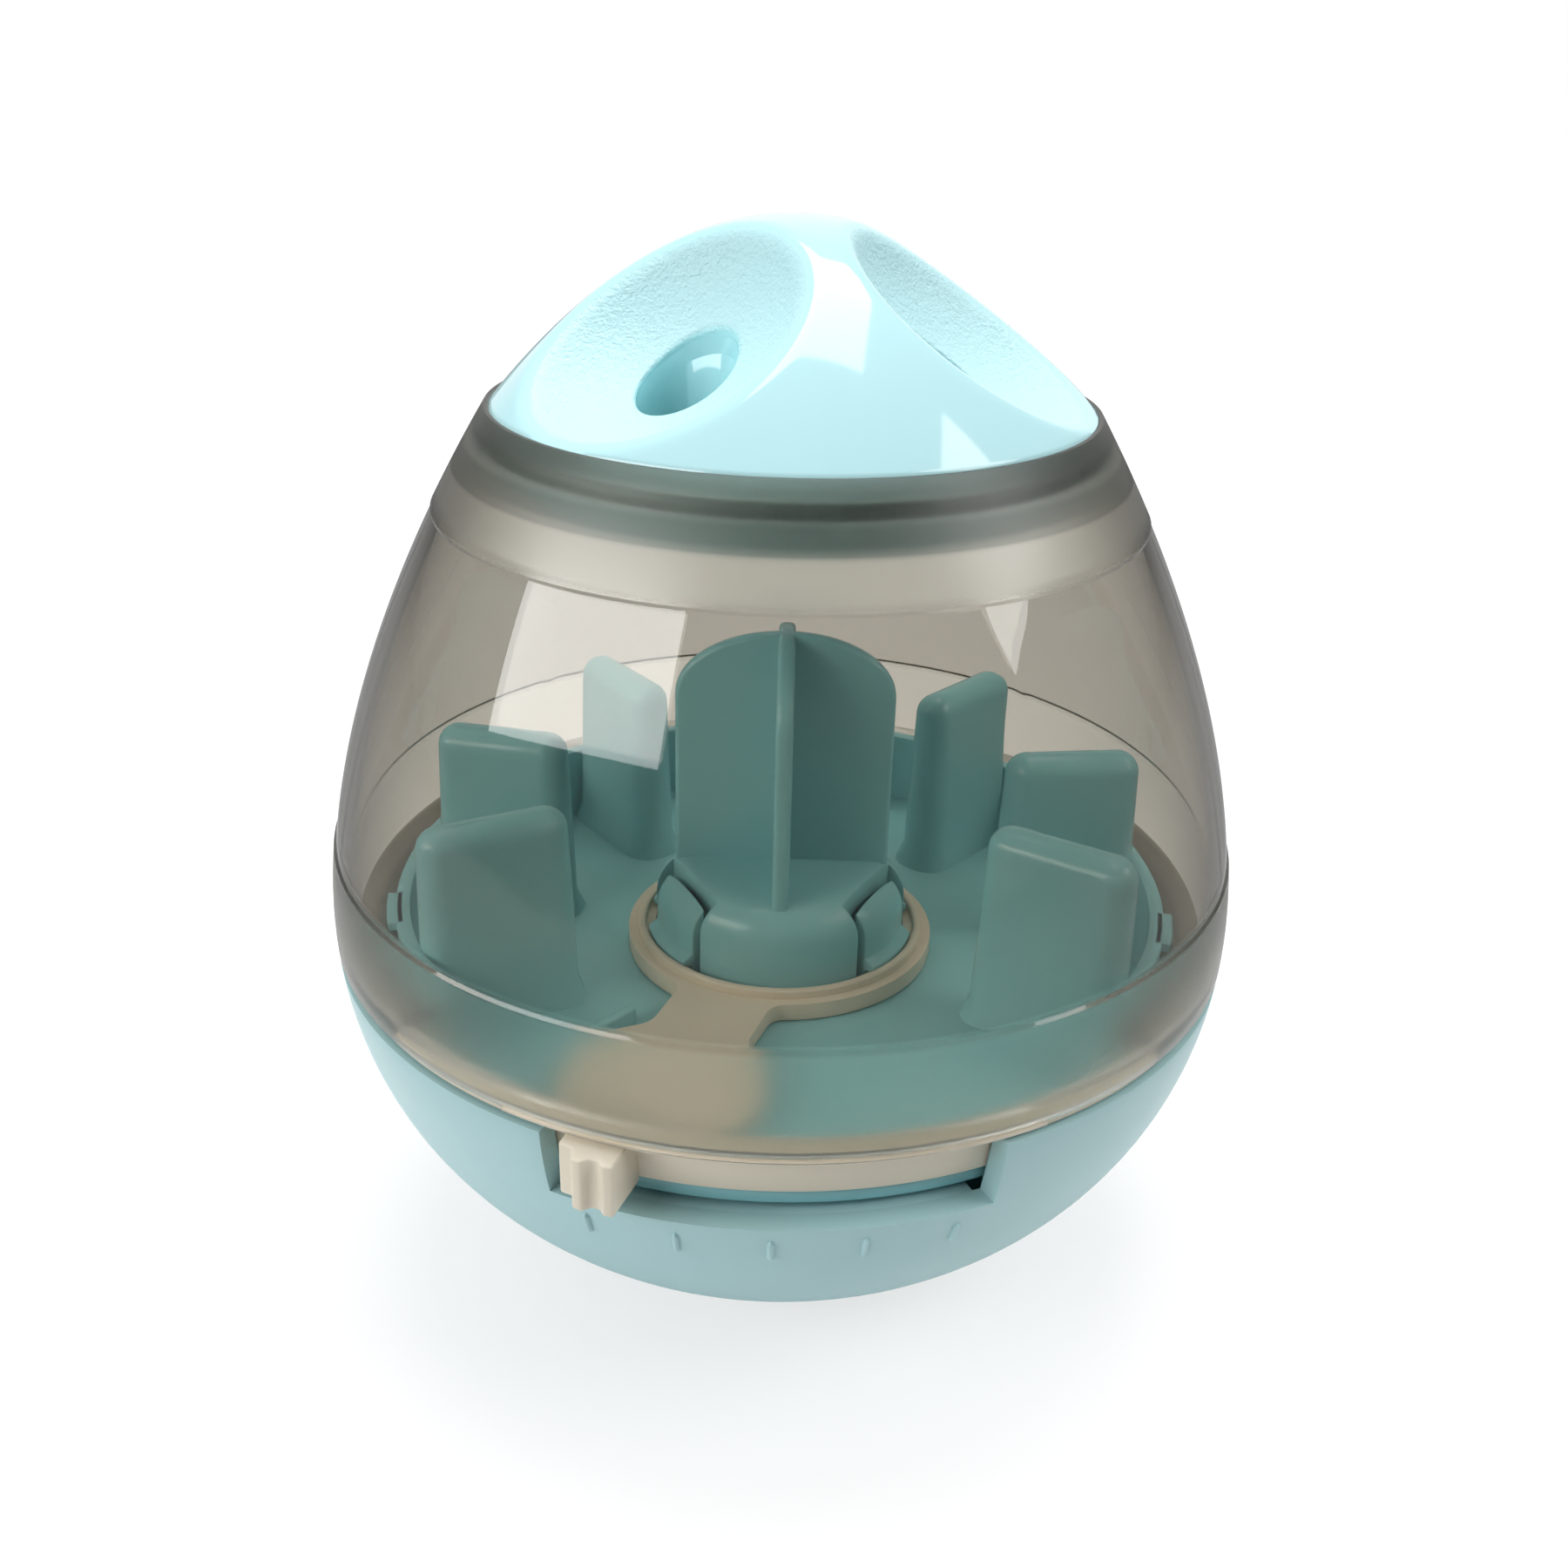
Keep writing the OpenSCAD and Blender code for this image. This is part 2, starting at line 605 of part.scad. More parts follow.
module regulator() {
    low = floor_h + run_gap;
    high = low + reg_t;
    bore_r = hub_r + run_gap;
    ring_r = reg_ring_d / 2;
    bead_in = hub_r + claw_barb + run_gap;
    flange_r = skin_r(flange_low_h) - flange_in;
    knob_r = skin_r(flange_low_h) + knob_out;
    round_y = sqrt(pow(ring_r + neck_round, 2) - pow(neck_half + neck_round, 2));
    // centre of the hollow corner between the neck and the disc, and the angle at which it meets the disc
    corner_x = neck_half + disc_round;
    corner_y = sqrt(pow(shutter_r + disc_round, 2) - pow(corner_x, 2)) - gate_at;
    corner_end = 180 + acos(corner_x / (shutter_r + disc_round));
    color([0.80, 0.77, 0.67])
    rotate(lever_rest)
    difference() {
        union() {
            // ring round the hub with its raised bead
            rotate_extrude()
            polygon([[bore_r, low], [ring_r, low], [ring_r, high], [bead_in + bead_w, high],
                [bead_in + bead_w, high + bead_h], [bead_in, high + bead_h], [bead_in, high], [bore_r, high]]);
            // neck, shutter disc and strap
            translate([0, 0, low])
            linear_extrude(reg_t)
            difference() {
                union() {
                    difference() {
                        translate([-neck_half - neck_round, -gate_at])
                        square([2 * (neck_half + neck_round), gate_at - bead_in - bead_w]);
                        for (s = [-1, 1])
                        translate([s * (neck_half + neck_round), -round_y])
                        circle(r = neck_round);
                        for (s = [-1, 1])
                        translate([s * (neck_half + neck_round) - neck_round, -gate_at - cut])
                        square([2 * neck_round, gate_at + cut - round_y]);
                    }
                    translate([0, -gate_at])
                    circle(r = shutter_r);
                    intersection() {
                        translate([-strap_half, -band_r])
                        square([2 * strap_half, band_r - gate_at]);
                        circle(r = band_r - band_t / 2);
                    }
                    // hollow corners between the neck and the disc
                    for (s = [-1, 1])
                    polygon([for (p = concat([[0, corner_y]],
                        arc(corner_x, corner_y, disc_round, 180, corner_end - 4),
                        [[shutter_r * cos(corner_end - 186), shutter_r * sin(corner_end - 186) - gate_at], [0, -gate_at]]))
                        [s * p[0], p[1]]]);
                }
            }
            // outer band and the flange in the seam
            rotate_extrude()
            polygon([[band_r - band_t, low], [band_r, low], [band_top_r, flange_low_h], [flange_r, flange_low_h],
                [flange_r, flange_top_h], [band_top_r - band_t, flange_top_h]]);
            // knob with its grip ridges
            translate([0, 0, flange_low_h - knob_h])
            linear_extrude(knob_h)
            polygon([[-knob_w / 2, -band_r + 2 * fit_gap], [-knob_w / 2, -knob_r + knob_out * 3 / 4],
                [-knob_w / 4, -knob_r + knob_out * 2 / 3], [-knob_w / 6, -knob_r + knob_out / 12],
                [0, -knob_r], [knob_w / 9, -knob_r + knob_out / 3], [knob_w / 4, -knob_r + knob_out / 3],
                [knob_w / 3, -knob_r + knob_out / 12], [knob_w / 2, -knob_r + knob_out / 8],
                [knob_w / 2, -band_r + 2 * fit_gap]]);
        }
    }
}

// Clear shell

module clear_shell() {
    ledge_in = collar_r + run_gap + fit_gap;
    mouth_r = skin_r(mouth_h);
    seat_out = mouth_r - lip_w;
    apron_low_h = shell_low_h - apron_drop;
    apron_in = skin_r(flange_low_h) - flange_in + run_gap;
    color([0.62, 0.59, 0.54, 0.45])
    difference() {
        rotate_extrude()
        polygon(concat([[ledge_in, apron_low_h]],
            skin_curve(0, apron_low_h, frost_low_h, 5),
            skin_curve(frost_step, frost_low_h, frost_high_h, curve_steps),
            skin_curve(0, frost_high_h, mouth_h, 4),
            [[seat_out, mouth_h], [seat_out, seat_h], [seat_out - seat_w, seat_h],
                [seat_out - seat_w, seat_h - seat_t]],
            reverse(skin_curve(shell_wall, shell_low_h + ledge_t, seat_h - seat_t, curve_steps)),
            [[ledge_in, shell_low_h + ledge_t]]));
        // all of the underside but the apron that hangs in front of the flange
        difference() {
            band(ledge_in - cut, ball_r + cut, apron_low_h - cut, shell_low_h);
            difference() {
                slice(ball_r + 2 * cut, apron_half_angle, apron_low_h - 2 * cut, shell_low_h + cut);
                translate([0, 0, apron_low_h - 3 * cut])
                cylinder(h = apron_drop + 5 * cut, r = apron_in);
            }
        }
        // no ledge in front, where the collar is open
        intersection() {
            slice(collar_r + ledge_w + shell_wall, collar_gap_angle, shell_low_h - cut, shell_low_h + ledge_t + run_gap);
            cylinder(h = mouth_h, r = skin_r(shell_low_h, shell_wall));
        }
        // gaps that let the ledge pass the collar's lugs
        for (a = [75, 130, -75, -130])
        rotate(a)
        slice(collar_r + lug_out + run_gap + fit_gap, lug_angle / 2 + 1, shell_low_h - cut, shell_low_h + ledge_t + run_gap);
    }
}

// Cap

function dome_h(r, radius, rise) = mouth_h + rise * (1 - pow(r / radius, dome_power));
module dome(radius, rise, low_h) {
    rotate_extrude()
    polygon(concat([[0, low_h], [radius, low_h]],
        [for (i = [0:curve_steps]) let (r = radius * cos(90 * i / curve_steps)) [r, dome_h(r, radius, rise)]]));
}
cap_r = skin_r(mouth_h) - lip_w - 2 * fit_gap;
dish_at = cap_r - dish_in;
outlet_at = dish_at - outlet_in;
module dishes(grow) {
    for (i = [0:2])
    rotate(dish_turn + i * 120)
    translate([0, -dish_at, mouth_h + dish_up])
    sphere(r = dish_r + grow);
}
module cap() {
    mouth_r = skin_r(mouth_h);
    skirt_out = mouth_r - lip_w - seat_w - 2 * fit_gap;
    skirt_in = skirt_out - cap_wall;
    skirt_low = seat_h - cap_skirt_h;
    hook_h = seat_h - seat_t - fit_gap;
    color([0.72, 0.92, 0.94])
    difference() {
        union() {
            difference() {
                dome(cap_r, cap_rise, seat_h);
                dishes(0);
                difference() {
                    dome(cap_r - cap_wall, cap_rise - cap_wall, seat_h - cut);
                    dishes(cap_wall);
                    band(skirt_in, cap_r + cut, seat_h - 2 * cut, mouth_h + cap_rise);
                }
            }
            // ducts under the outlets
            difference() {
                for (i = [0:2])
                rotate(dish_turn + i * 120)
                translate([0, -outlet_at, skirt_low + cap_wall])
                cylinder(h = mouth_h + dish_up - skirt_low - 2 * cap_wall, r = outlet_r + duct_wall, $fn = 64);
                dishes(0);
            }
            // skirt that plugs into the shell, with its snap hooks
            difference() {
                union() {
                    band(skirt_in, skirt_out, skirt_low, seat_h + cap_wall / 2);
                    for (i = [0:2])
                    rotate(dish_turn + 60 + i * 120)
                    intersection() {
                        rotate_extrude()
                        polygon([[skirt_out - cap_wall / 2, skirt_low + cap_wall / 4],
                            [skirt_out + snap_out, hook_h - snap_out], [skirt_out + snap_out, hook_h],
                            [skirt_out - cap_wall / 2, hook_h]]);
                        slice(skirt_out + snap_out + cut, snap_angle / 2, skirt_low - cut, hook_h + cut);
                    }
                }
                for (i = [0:2])
                for (s = [-1, 1])
                rotate(dish_turn + 60 + i * 120 + s * (snap_angle / 2 + 2))
                translate([-cap_wall / 4, -skirt_out - snap_out - cut, skirt_low - cut])
                cube([cap_wall / 2, cap_wall + snap_out + 2 * cut, hook_h - skirt_low + cut]);
            }
        }
        for (i = [0:2])
        rotate(dish_turn + i * 120)
        translate([0, -outlet_at, skirt_low - cut])
        cylinder(h = cap_rise + cap_skirt_h + seat_depth + 2 * cut, r = outlet_r, $fn = 64);
    }
}

cap();
clear_shell();
centre_post();
maze_plate();
regulator();
base_bowl();
counterweight();
weight_cover();
weight_screws();
post_screw();
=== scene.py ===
# %% [markdown]
# # Treat dispensing ball
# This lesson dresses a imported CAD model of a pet's treat tumbler: a weighted bowl with a side
# lever, a smoked clear shell, a finned maze plate with its centre post, and a pale blue cap with
# three scooped outlets. The frame comes first, because every piece below lies in its
# millimetres. The frame's own box is kept, so the dressed model can be held to the same size.

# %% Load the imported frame
import math

import bmesh
import bpy
import numpy as np
from mathutils import Matrix, Vector


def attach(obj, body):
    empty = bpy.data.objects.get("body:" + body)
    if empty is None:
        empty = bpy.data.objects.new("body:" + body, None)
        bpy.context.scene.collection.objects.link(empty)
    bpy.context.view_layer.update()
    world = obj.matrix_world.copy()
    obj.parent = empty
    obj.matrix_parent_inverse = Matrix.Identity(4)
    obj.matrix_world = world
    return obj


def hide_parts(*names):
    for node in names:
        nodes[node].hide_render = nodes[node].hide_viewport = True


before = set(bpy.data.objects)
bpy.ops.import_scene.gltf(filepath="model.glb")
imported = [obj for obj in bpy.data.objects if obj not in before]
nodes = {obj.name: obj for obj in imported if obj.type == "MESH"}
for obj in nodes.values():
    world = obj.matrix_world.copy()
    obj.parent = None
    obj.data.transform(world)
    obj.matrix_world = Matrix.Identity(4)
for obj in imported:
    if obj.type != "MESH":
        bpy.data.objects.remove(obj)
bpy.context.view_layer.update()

# %% [markdown]
# ## The ball's own curve
# The skin of the ball is one smooth egg. Below its widest circle it is a soft square-shouldered
# oval, and above it the wall leans in faster and faster. Both halves are one formula each, so a
# single function can give the radius at any height, and every wall is made from it.

# %% Sizes of the ball, in millimetres
MM = 0.001
BALL_R, EQUATOR_H, FOOT_R, BELLY_POWER = 60.0, 52.5, 11.7, 2.1
BOWL_DEPTH = EQUATOR_H / (1 - (FOOT_R / BALL_R) ** BELLY_POWER) ** (1 / BELLY_POWER)
CROWN_REACH, CROWN_POWER = 111.9, 1.77
RIM_H, SLOT_LOW_H, FLOOR_H = 47.5, 38.2, 41.2
FLANGE_LOW_H, FLANGE_TOP_H, SHELL_LOW_H, MOUTH_H = 47.8, 48.9, 49.2, 117.0
BASE_WALL, SHELL_WALL, GAP, FIT_GAP = 2.8, 2.2, 0.3, 0.1
LEVER_REST, LEVER_REACH, KNOB_HALF = -19.3, 21.5, 3.7


def skin_r(z, inset=0.0):
    """Radius of the ball's skin at height z, less an inset."""
    if z < EQUATOR_H:
        share = 1 - ((EQUATOR_H - z) / (BOWL_DEPTH - inset)) ** BELLY_POWER
        return (BALL_R - inset) * max(0.0, share) ** (1 / BELLY_POWER)
    return BALL_R * (1 - ((z - EQUATOR_H) / CROWN_REACH) ** CROWN_POWER) - inset


def wall_h(r, inset=0.0):
    """Height of the bowl's skin at radius r, the other way round."""
    share = 1 - (r / (BALL_R - inset)) ** BELLY_POWER
    return EQUATOR_H - (BOWL_DEPTH - inset) * max(0.0, share) ** (1 / BELLY_POWER)


def bowl_curve(inset, low, high, steps):
    """Points up the bowl's curve, close together where it turns fastest."""
    power = BELLY_POWER / 2
    a, b = (math.acos(min(1.0, ((EQUATOR_H - z) / (BOWL_DEPTH - inset)) ** power)) for z in (low, high))
    turns = [a + (b - a) * i / steps for i in range(steps + 1)]
    return [
        ((BALL_R - inset) * max(0.0, math.sin(t)) ** (1 / power),
         EQUATOR_H - (BOWL_DEPTH - inset) * max(0.0, math.cos(t)) ** (1 / power))
        for t in turns
    ]


BAND_R = skin_r(FLOOR_H, BASE_WALL) - (GAP + FIT_GAP)
SLOT_HALF = LEVER_REACH + math.degrees(math.asin((KNOB_HALF + GAP) / BAND_R))
print("Skin radius at the rim:", round(skin_r(RIM_H), 2), "and at the mouth:", round(skin_r(MOUTH_H), 2))

# %% [markdown]
# ## The camera
# The camera comes before the pieces, so that each can be held against the photograph as soon as
# it is made. The photograph looks down on the ball by about 25 degrees from 0.22 m away, and
# leans a little to one side. The lens was worked out from the ball's level rings.

# %% Camera at the photograph's place
CAMERA_AT = (0.09, -199.69, 159.21)
CAMERA_DOWN, CAMERA_ROLL, LENS, SENSOR = 25.176, 1.575, 37.4016, 36
CLIP_NEAR, CLIP_FAR = 0.01, 50

camera_data = bpy.data.cameras.new("photo_camera")
camera_data.sensor_width, camera_data.lens = SENSOR, LENS
camera_data.clip_start, camera_data.clip_end = CLIP_NEAR, CLIP_FAR
camera = bpy.data.objects.new("photo_camera", camera_data)
bpy.context.scene.collection.objects.link(camera)
down, roll = math.radians(CAMERA_DOWN), math.radians(CAMERA_ROLL)
look = Vector((0, math.cos(down), -math.sin(down)))
level_up = Vector((0, math.sin(down), math.cos(down)))
right = Vector((1, 0, 0)) * math.cos(roll) + level_up * math.sin(roll)
up = level_up * math.cos(roll) - Vector((1, 0, 0)) * math.sin(roll)
facing = Matrix((right, up, -look)).transposed().to_4x4()
camera.matrix_world = Matrix.Translation(Vector(CAMERA_AT) * MM) @ facing
bpy.context.scene.camera = camera
print("Camera", [round(v, 4) for v in camera.location], "lens", LENS)

# %% [markdown]
# ## Tools for turned and moulded pieces
# Most walls here are turned shapes with gaps in them: a slot, an apron, a collar that stops
# short. A plain spin can't leave a gap, and cutting each one by a boolean roughens the mesh. So
# a piece is lofted from columns, one outline for each direction round the axis, and a gap is two
# columns at the same angle with different outlines.


# %% Clean meshes from rows of points
def clean_mesh(name, points, faces):
    """A mesh in metres from points in millimetres, with doubles merged and faces outwards."""
    mesh = bpy.data.meshes.new(name)
    mesh.from_pydata([(x * MM, y * MM, z * MM) for x, y, z in points], [], faces)
    return tidy(mesh)


def tidy(mesh):
    """Merges doubles, drops faces of no size and turns all faces outwards."""
    bm = bmesh.new()
    bm.from_mesh(mesh)
    bmesh.ops.remove_doubles(bm, verts=bm.verts, dist=2e-6)
    bmesh.ops.dissolve_degenerate(bm, dist=1e-7, edges=bm.edges)
    bmesh.ops.recalc_face_normals(bm, faces=bm.faces)
    bm.to_mesh(mesh)
    bm.free()
    return mesh


def around(r, angle, z):
    """A point at radius r, turned by angle degrees from the front."""
    a = math.radians(angle)
    return (r * math.sin(a), -r * math.cos(a), z)


def row_faces(rows, n):
    """Faces that skin rows of n points in order, each row closed on itself."""
    return [
        (i * n + j, i * n + (j + 1) % n, (i + 1) * n + (j + 1) % n, (i + 1) * n + j)
        for i in range(rows - 1) for j in range(n)
    ]


def end_faces(rows, n):
    """The two faces that close the first and the last row."""
    return [tuple(range(n)), tuple(reversed(range((rows - 1) * n, rows * n)))]


def skinned(name, rows):
    """A closed solid skinned over rows of points, all with the same number of points."""
    size = len(rows), len(rows[0])
    return clean_mesh(name, [p for row in rows for p in row], end_faces(*size) + row_faces(*size))


def moved(mesh, x=0.0, y=0.0, turn=0.0):
    """The mesh shifted by x and y in millimetres, and then turned about the axis by degrees."""
    mesh.transform(Matrix.Rotation(math.radians(turn), 4, "Z") @ Matrix.Translation((x * MM, y * MM, 0)))
    return mesh


print("Faces that skin 3 rows of 4 points:", len(row_faces(3, 4)))

# %% [markdown]
# A column is one outline at one angle round the axis. The skin between two columns is straight,
# so a round wall takes a hundred or more of them, and an edge gets a column of its own.


# %% Lofts round the axis
def column_loft(name, columns, ring):
    """Skins columns of outline points round the axis. ring closes each outline on itself."""
    count = len(columns[0][1])
    points = [around(r, angle, z) for angle, outline in columns for r, z in outline]
    faces = []
    for i in range(len(columns)):
        here, there = i * count, (i + 1) % len(columns) * count
        for j in range(count if ring else count - 1):
            k = (j + 1) % count
            faces.append((here + j, here + k, there + k, there + j))
    return clean_mesh(name, points, faces)


def angles(steps, breaks=()):
    """Directions round the axis, with each break given twice, just before and after it."""
    plain = [-180 + 360 * i / steps for i in range(steps)]
    plain = [a for a in plain if all(abs(a - b) > 120 / steps for b in breaks)]
    return sorted([(a, 0) for a in plain] + [(b, s) for b in breaks for s in (-1, 1)])


def gapped_loft(name, steps, half, in_gap, elsewhere):
    """A loft with one outline up to half degrees from the front, and another one elsewhere."""
    columns = []
    for angle, side in angles(steps, (-half, half)):
        within = abs(angle) < half - 0.01 or (side and side * angle < 0)
        columns.append((angle, in_gap if within else elsewhere))
    return column_loft(name, columns, ring=False)


def turned(name, outline, steps=128):
    """A turned piece from a closed outline clear of the axis, or one that starts and ends on it."""
    ring = outline[0][0] > 0.001
    return column_loft(name, [(a, outline) for a, _ in angles(steps)], ring)


print("Columns of a loft with a gap of 40 degrees:", angles(6, (-20, 20)))

# %% [markdown]
# Every loft starts from an outline, a list of points. Corners are eased in the outline where a
# radius is part of the shape, because that costs a few points and no modifier.


# %% Outlines
def rounded(outline, radius, steps=4, closed=True):
    """Rounds the corners of an outline of (r, z) points."""
    made = []
    for i, here in enumerate(outline):
        before, after = outline[i - 1], outline[(i + 1) % len(outline)]
        if not closed and i in (0, len(outline) - 1):
            made.append(here)
            continue
        p, a, b = (Vector(v) for v in (here, before, after))
        to_a, to_b = (a - p), (b - p)
        turn = to_a.angle(to_b) if to_a.length and to_b.length else math.pi
        if turn > math.radians(165):
            made.append(here)
            continue
        reach = min(radius / math.tan(turn / 2), to_a.length * 0.45, to_b.length * 0.45)
        start, end = p + to_a.normalized() * reach, p + to_b.normalized() * reach
        for s in range(steps + 1):
            t = s / steps
            q = start * (1 - t) ** 2 + p * 2 * t * (1 - t) + end * t * t
            made.append((q.x, q.y))
    return made


def prism(name, outline, low, high):
    """A straight moulding from an (x, y) outline, in millimetres."""
    return skinned(name, [[(x, y, z) for x, y in outline] for z in (low, high)])


def arc(cx, cy, r, a0, a1, steps=8):
    """Points of an arc, angles in degrees from +X."""
    turns = [math.radians(a0 + (a1 - a0) * i / steps) for i in range(steps + 1)]
    return [(cx + r * math.cos(a), cy + r * math.sin(a)) for a in turns]


def section(r_in, r_out, low, high):
    """The corners of a rectangular (r, z) outline."""
    return [(r_in, low), (r_out, low), (r_out, high), (r_in, high)]


print("A square of 10 mm with round corners has", len(rounded(section(0, 10, 0, 10), 2)), "points")

# %% [markdown]
# A moulded edge is never sharp. A Bevel modifier gives each sharp edge its small radius, and a
# Boolean cuts what no loft can give. Both are applied at once, so that the next step starts from
# a plain mesh, and only a finished piece stays in the scene.


# %% Modifiers
def stand(mesh, name=None):
    """Puts a mesh in the scene as an object at the origin."""
    obj = bpy.data.objects.new(name or mesh.name, mesh)
    bpy.context.scene.collection.objects.link(obj)
    return obj


def with_bevel(obj, width, segments=2, angle=40):
    """Adds a moulded radius, in millimetres, to every edge sharper than an angle."""
    soft = obj.modifiers.new("soft_edges", "BEVEL")
    soft.width, soft.segments = width * MM, segments
    soft.limit_method, soft.angle_limit = "ANGLE", math.radians(angle)
    soft.use_clamp_overlap = True
    return obj


def with_cut(obj, tool, operation):
    cut = obj.modifiers.new("cut", "BOOLEAN")
    cut.object, cut.operation, cut.solver = tool, operation, "EXACT"
    return obj


def baked(obj):
    """The object's mesh with its modifiers applied. The object and its modifiers go."""
    depsgraph = bpy.context.evaluated_depsgraph_get()
    mesh = bpy.data.meshes.new_from_object(obj.evaluated_get(depsgraph))
    mesh.name = obj.name
    bpy.data.objects.remove(obj)
    return mesh


def cut_mesh(mesh, tools, operation):
    """A mesh after cutting, or joining, it with other meshes in turn."""
    for tool in tools:
        body, knife = stand(mesh), stand(tool)
        mesh = baked(with_cut(body, knife, operation))
        bpy.data.objects.remove(knife)
    return mesh


def softened(mesh, width, segments=2, angle=40):
    return baked(with_bevel(stand(mesh), width, segments, angle))


print("Helpers that leave a plain mesh:", [f.__name__ for f in (baked, cut_mesh, softened)])

# %% [markdown]
# A piece may be joined from several closed solids that overlap a little, as a moulding's ribs
# grow out of its wall. It then gets its material, smooth shading that stops at sharp edges, and
# the body and CAD node that it stands for.


# %% Finished pieces
def joined(name, meshes):
    """One mesh out of several."""
    bm = bmesh.new()
    for mesh in meshes:
        bm.from_mesh(mesh)
    whole = bpy.data.meshes.new(name)
    bm.to_mesh(whole)
    bm.free()
    return whole


def show(name, mesh, material, body, node, smooth=38):
    """Makes the finished piece, with its material and body, and hides the CAD node it stands for."""
    mesh.materials.clear()
    mesh.materials.append(material)
    mesh.shade_smooth()
    mesh.set_sharp_from_angle(angle=math.radians(smooth))
    obj = stand(mesh, name)
    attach(obj, body)
    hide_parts(node)
    print(name, "has", len(mesh.polygons), "faces")
    return obj


print("Finished pieces go to", bpy.context.scene.collection.name)

# %% [markdown]
# ## Copies round the axis with Geometry Nodes
# Fins, ribs, hooks, lugs and setting marks are the same shape at an even pitch. A small node
# tree sets them out: points in a line carry an index, the index gives each copy its turn, and
# the copies are realized into real mesh, because instances would be lost on export.


# %% The tree that sets copies round the axis
def ring_tree():
    tree = bpy.data.node_groups.new("ring_of_copies", "GeometryNodeTree")
    face = tree.interface
    face.new_socket("Geometry", in_out="INPUT", socket_type="NodeSocketGeometry")
    for label, kind in (("Count", "Int"), ("Pitch", "Float"), ("Turn", "Float"), ("Finish", "Material")):
        face.new_socket(label, in_out="INPUT", socket_type="NodeSocket" + kind)
    face.new_socket("Geometry", in_out="OUTPUT", socket_type="NodeSocketGeometry")
    add, link = tree.nodes.new, tree.links.new

    def math_node(operation, a, b):
        node = add("ShaderNodeMath")
        node.operation = operation
        for socket, value in zip(node.inputs, (a, b)):
            if isinstance(value, (int, float)):
                socket.default_value = value
            else:
                link(value, socket)
        return node.outputs[0]

    given, points = add("NodeGroupInput"), add("GeometryNodePoints")
    placed = add("GeometryNodeInstanceOnPoints")
    link(given.outputs["Count"], points.inputs["Count"])
    middle = math_node("MULTIPLY", math_node("SUBTRACT", given.outputs["Count"], 1.0), 0.5)
    step = math_node("SUBTRACT", add("GeometryNodeInputIndex").outputs[0], middle)
    angle = math_node("ADD", given.outputs["Turn"], math_node("MULTIPLY", step, given.outputs["Pitch"]))
    spin = add("ShaderNodeCombineXYZ")
    link(angle, spin.inputs["Z"])
    link(points.outputs[0], placed.inputs["Points"])
    link(given.outputs["Geometry"], placed.inputs["Instance"])
    link(spin.outputs[0], placed.inputs["Rotation"])
    real, finish = add("GeometryNodeRealizeInstances"), add("GeometryNodeSetMaterial")
    out = add("NodeGroupOutput")
    link(placed.outputs[0], real.inputs[0])
    link(real.outputs[0], finish.inputs["Geometry"])
    link(given.outputs["Finish"], finish.inputs["Material"])
    link(finish.outputs[0], out.inputs[0])
    return tree


RING_TREE = ring_tree()


def copies(mesh, count, pitch, turn, material):
    """The mesh repeated round the axis, at a pitch and turn in degrees."""
    obj = stand(mesh)
    nodes_modifier = obj.modifiers.new("copies", "NODES")
    nodes_modifier.node_group = RING_TREE
    keys = {item.name: item.identifier for item in RING_TREE.interface.items_tree if item.in_out == "INPUT"}
    nodes_modifier[keys["Count"]] = count
    nodes_modifier[keys["Pitch"]] = math.radians(pitch)
    nodes_modifier[keys["Turn"]] = math.radians(turn)
    nodes_modifier[keys["Finish"]] = material
    return baked(obj)


print("Tree inputs:", [item.name for item in RING_TREE.interface.items_tree if item.in_out == "INPUT"])

# %% [markdown]
# ## Finishes
# All that shows is moulded plastic, but its skins differ: the cap is glossy with finely textured
# dishes, the bowl and the maze are satin, the lever is a duller satin, and the shell is smoked
# and clear with two frosted bands. Noise on Object coordinates varies the satins a little, and a
# number that is the same all over stays on the shader's own socket. A material is a tree of
# nodes, so each helper here adds a node and hands on its output.


# %% Helpers that add a shader node
def start_material(name):
    material = bpy.data.materials.new(name)
    material.use_nodes = True
    tree = material.node_tree
    return material, tree, tree.nodes["Principled BSDF"]


def own_place(tree):
    """Where on the piece a point lies, in metres."""
    return tree.nodes.new("ShaderNodeTexCoord").outputs["Object"]


def noise(tree, scale, detail=3.0, roughness=0.5):
    """A number that wanders softly over the piece."""
    cloud = tree.nodes.new("ShaderNodeTexNoise")
    for key, number in (("Scale", scale), ("Detail", detail), ("Roughness", roughness)):
        cloud.inputs[key].default_value = number
    tree.links.new(own_place(tree), cloud.inputs["Vector"])
    return cloud.outputs["Fac"]


def spread(tree, value, low, high, from_low=0.3, from_high=0.7):
    """A number taken from one range to another, and held there."""
    ramp = tree.nodes.new("ShaderNodeMapRange")
    for key, number in (("From Min", from_low), ("From Max", from_high), ("To Min", low), ("To Max", high)):
        ramp.inputs[key].default_value = number
    tree.links.new(value, ramp.inputs["Value"])
    return ramp.outputs["Result"]


def combined(tree, operation, a, b, clamped=False):
    """One number out of two, point by point."""
    node = tree.nodes.new("ShaderNodeMath")
    node.operation, node.use_clamp = operation, clamped
    tree.links.new(a, node.inputs[0])
    tree.links.new(b, node.inputs[1])
    return node.outputs[0]


def two_tone(tree, value, first, second):
    """A colour between two, and the first may be another node's output."""
    mix = tree.nodes.new("ShaderNodeMix")
    mix.data_type = "RGBA"
    if isinstance(first, tuple):
        mix.inputs["A"].default_value = (*first, 1)
    else:
        tree.links.new(first, mix.inputs["A"])
    mix.inputs["B"].default_value = (*second, 1)
    tree.links.new(value, mix.inputs["Factor"])
    return mix.outputs["Result"]


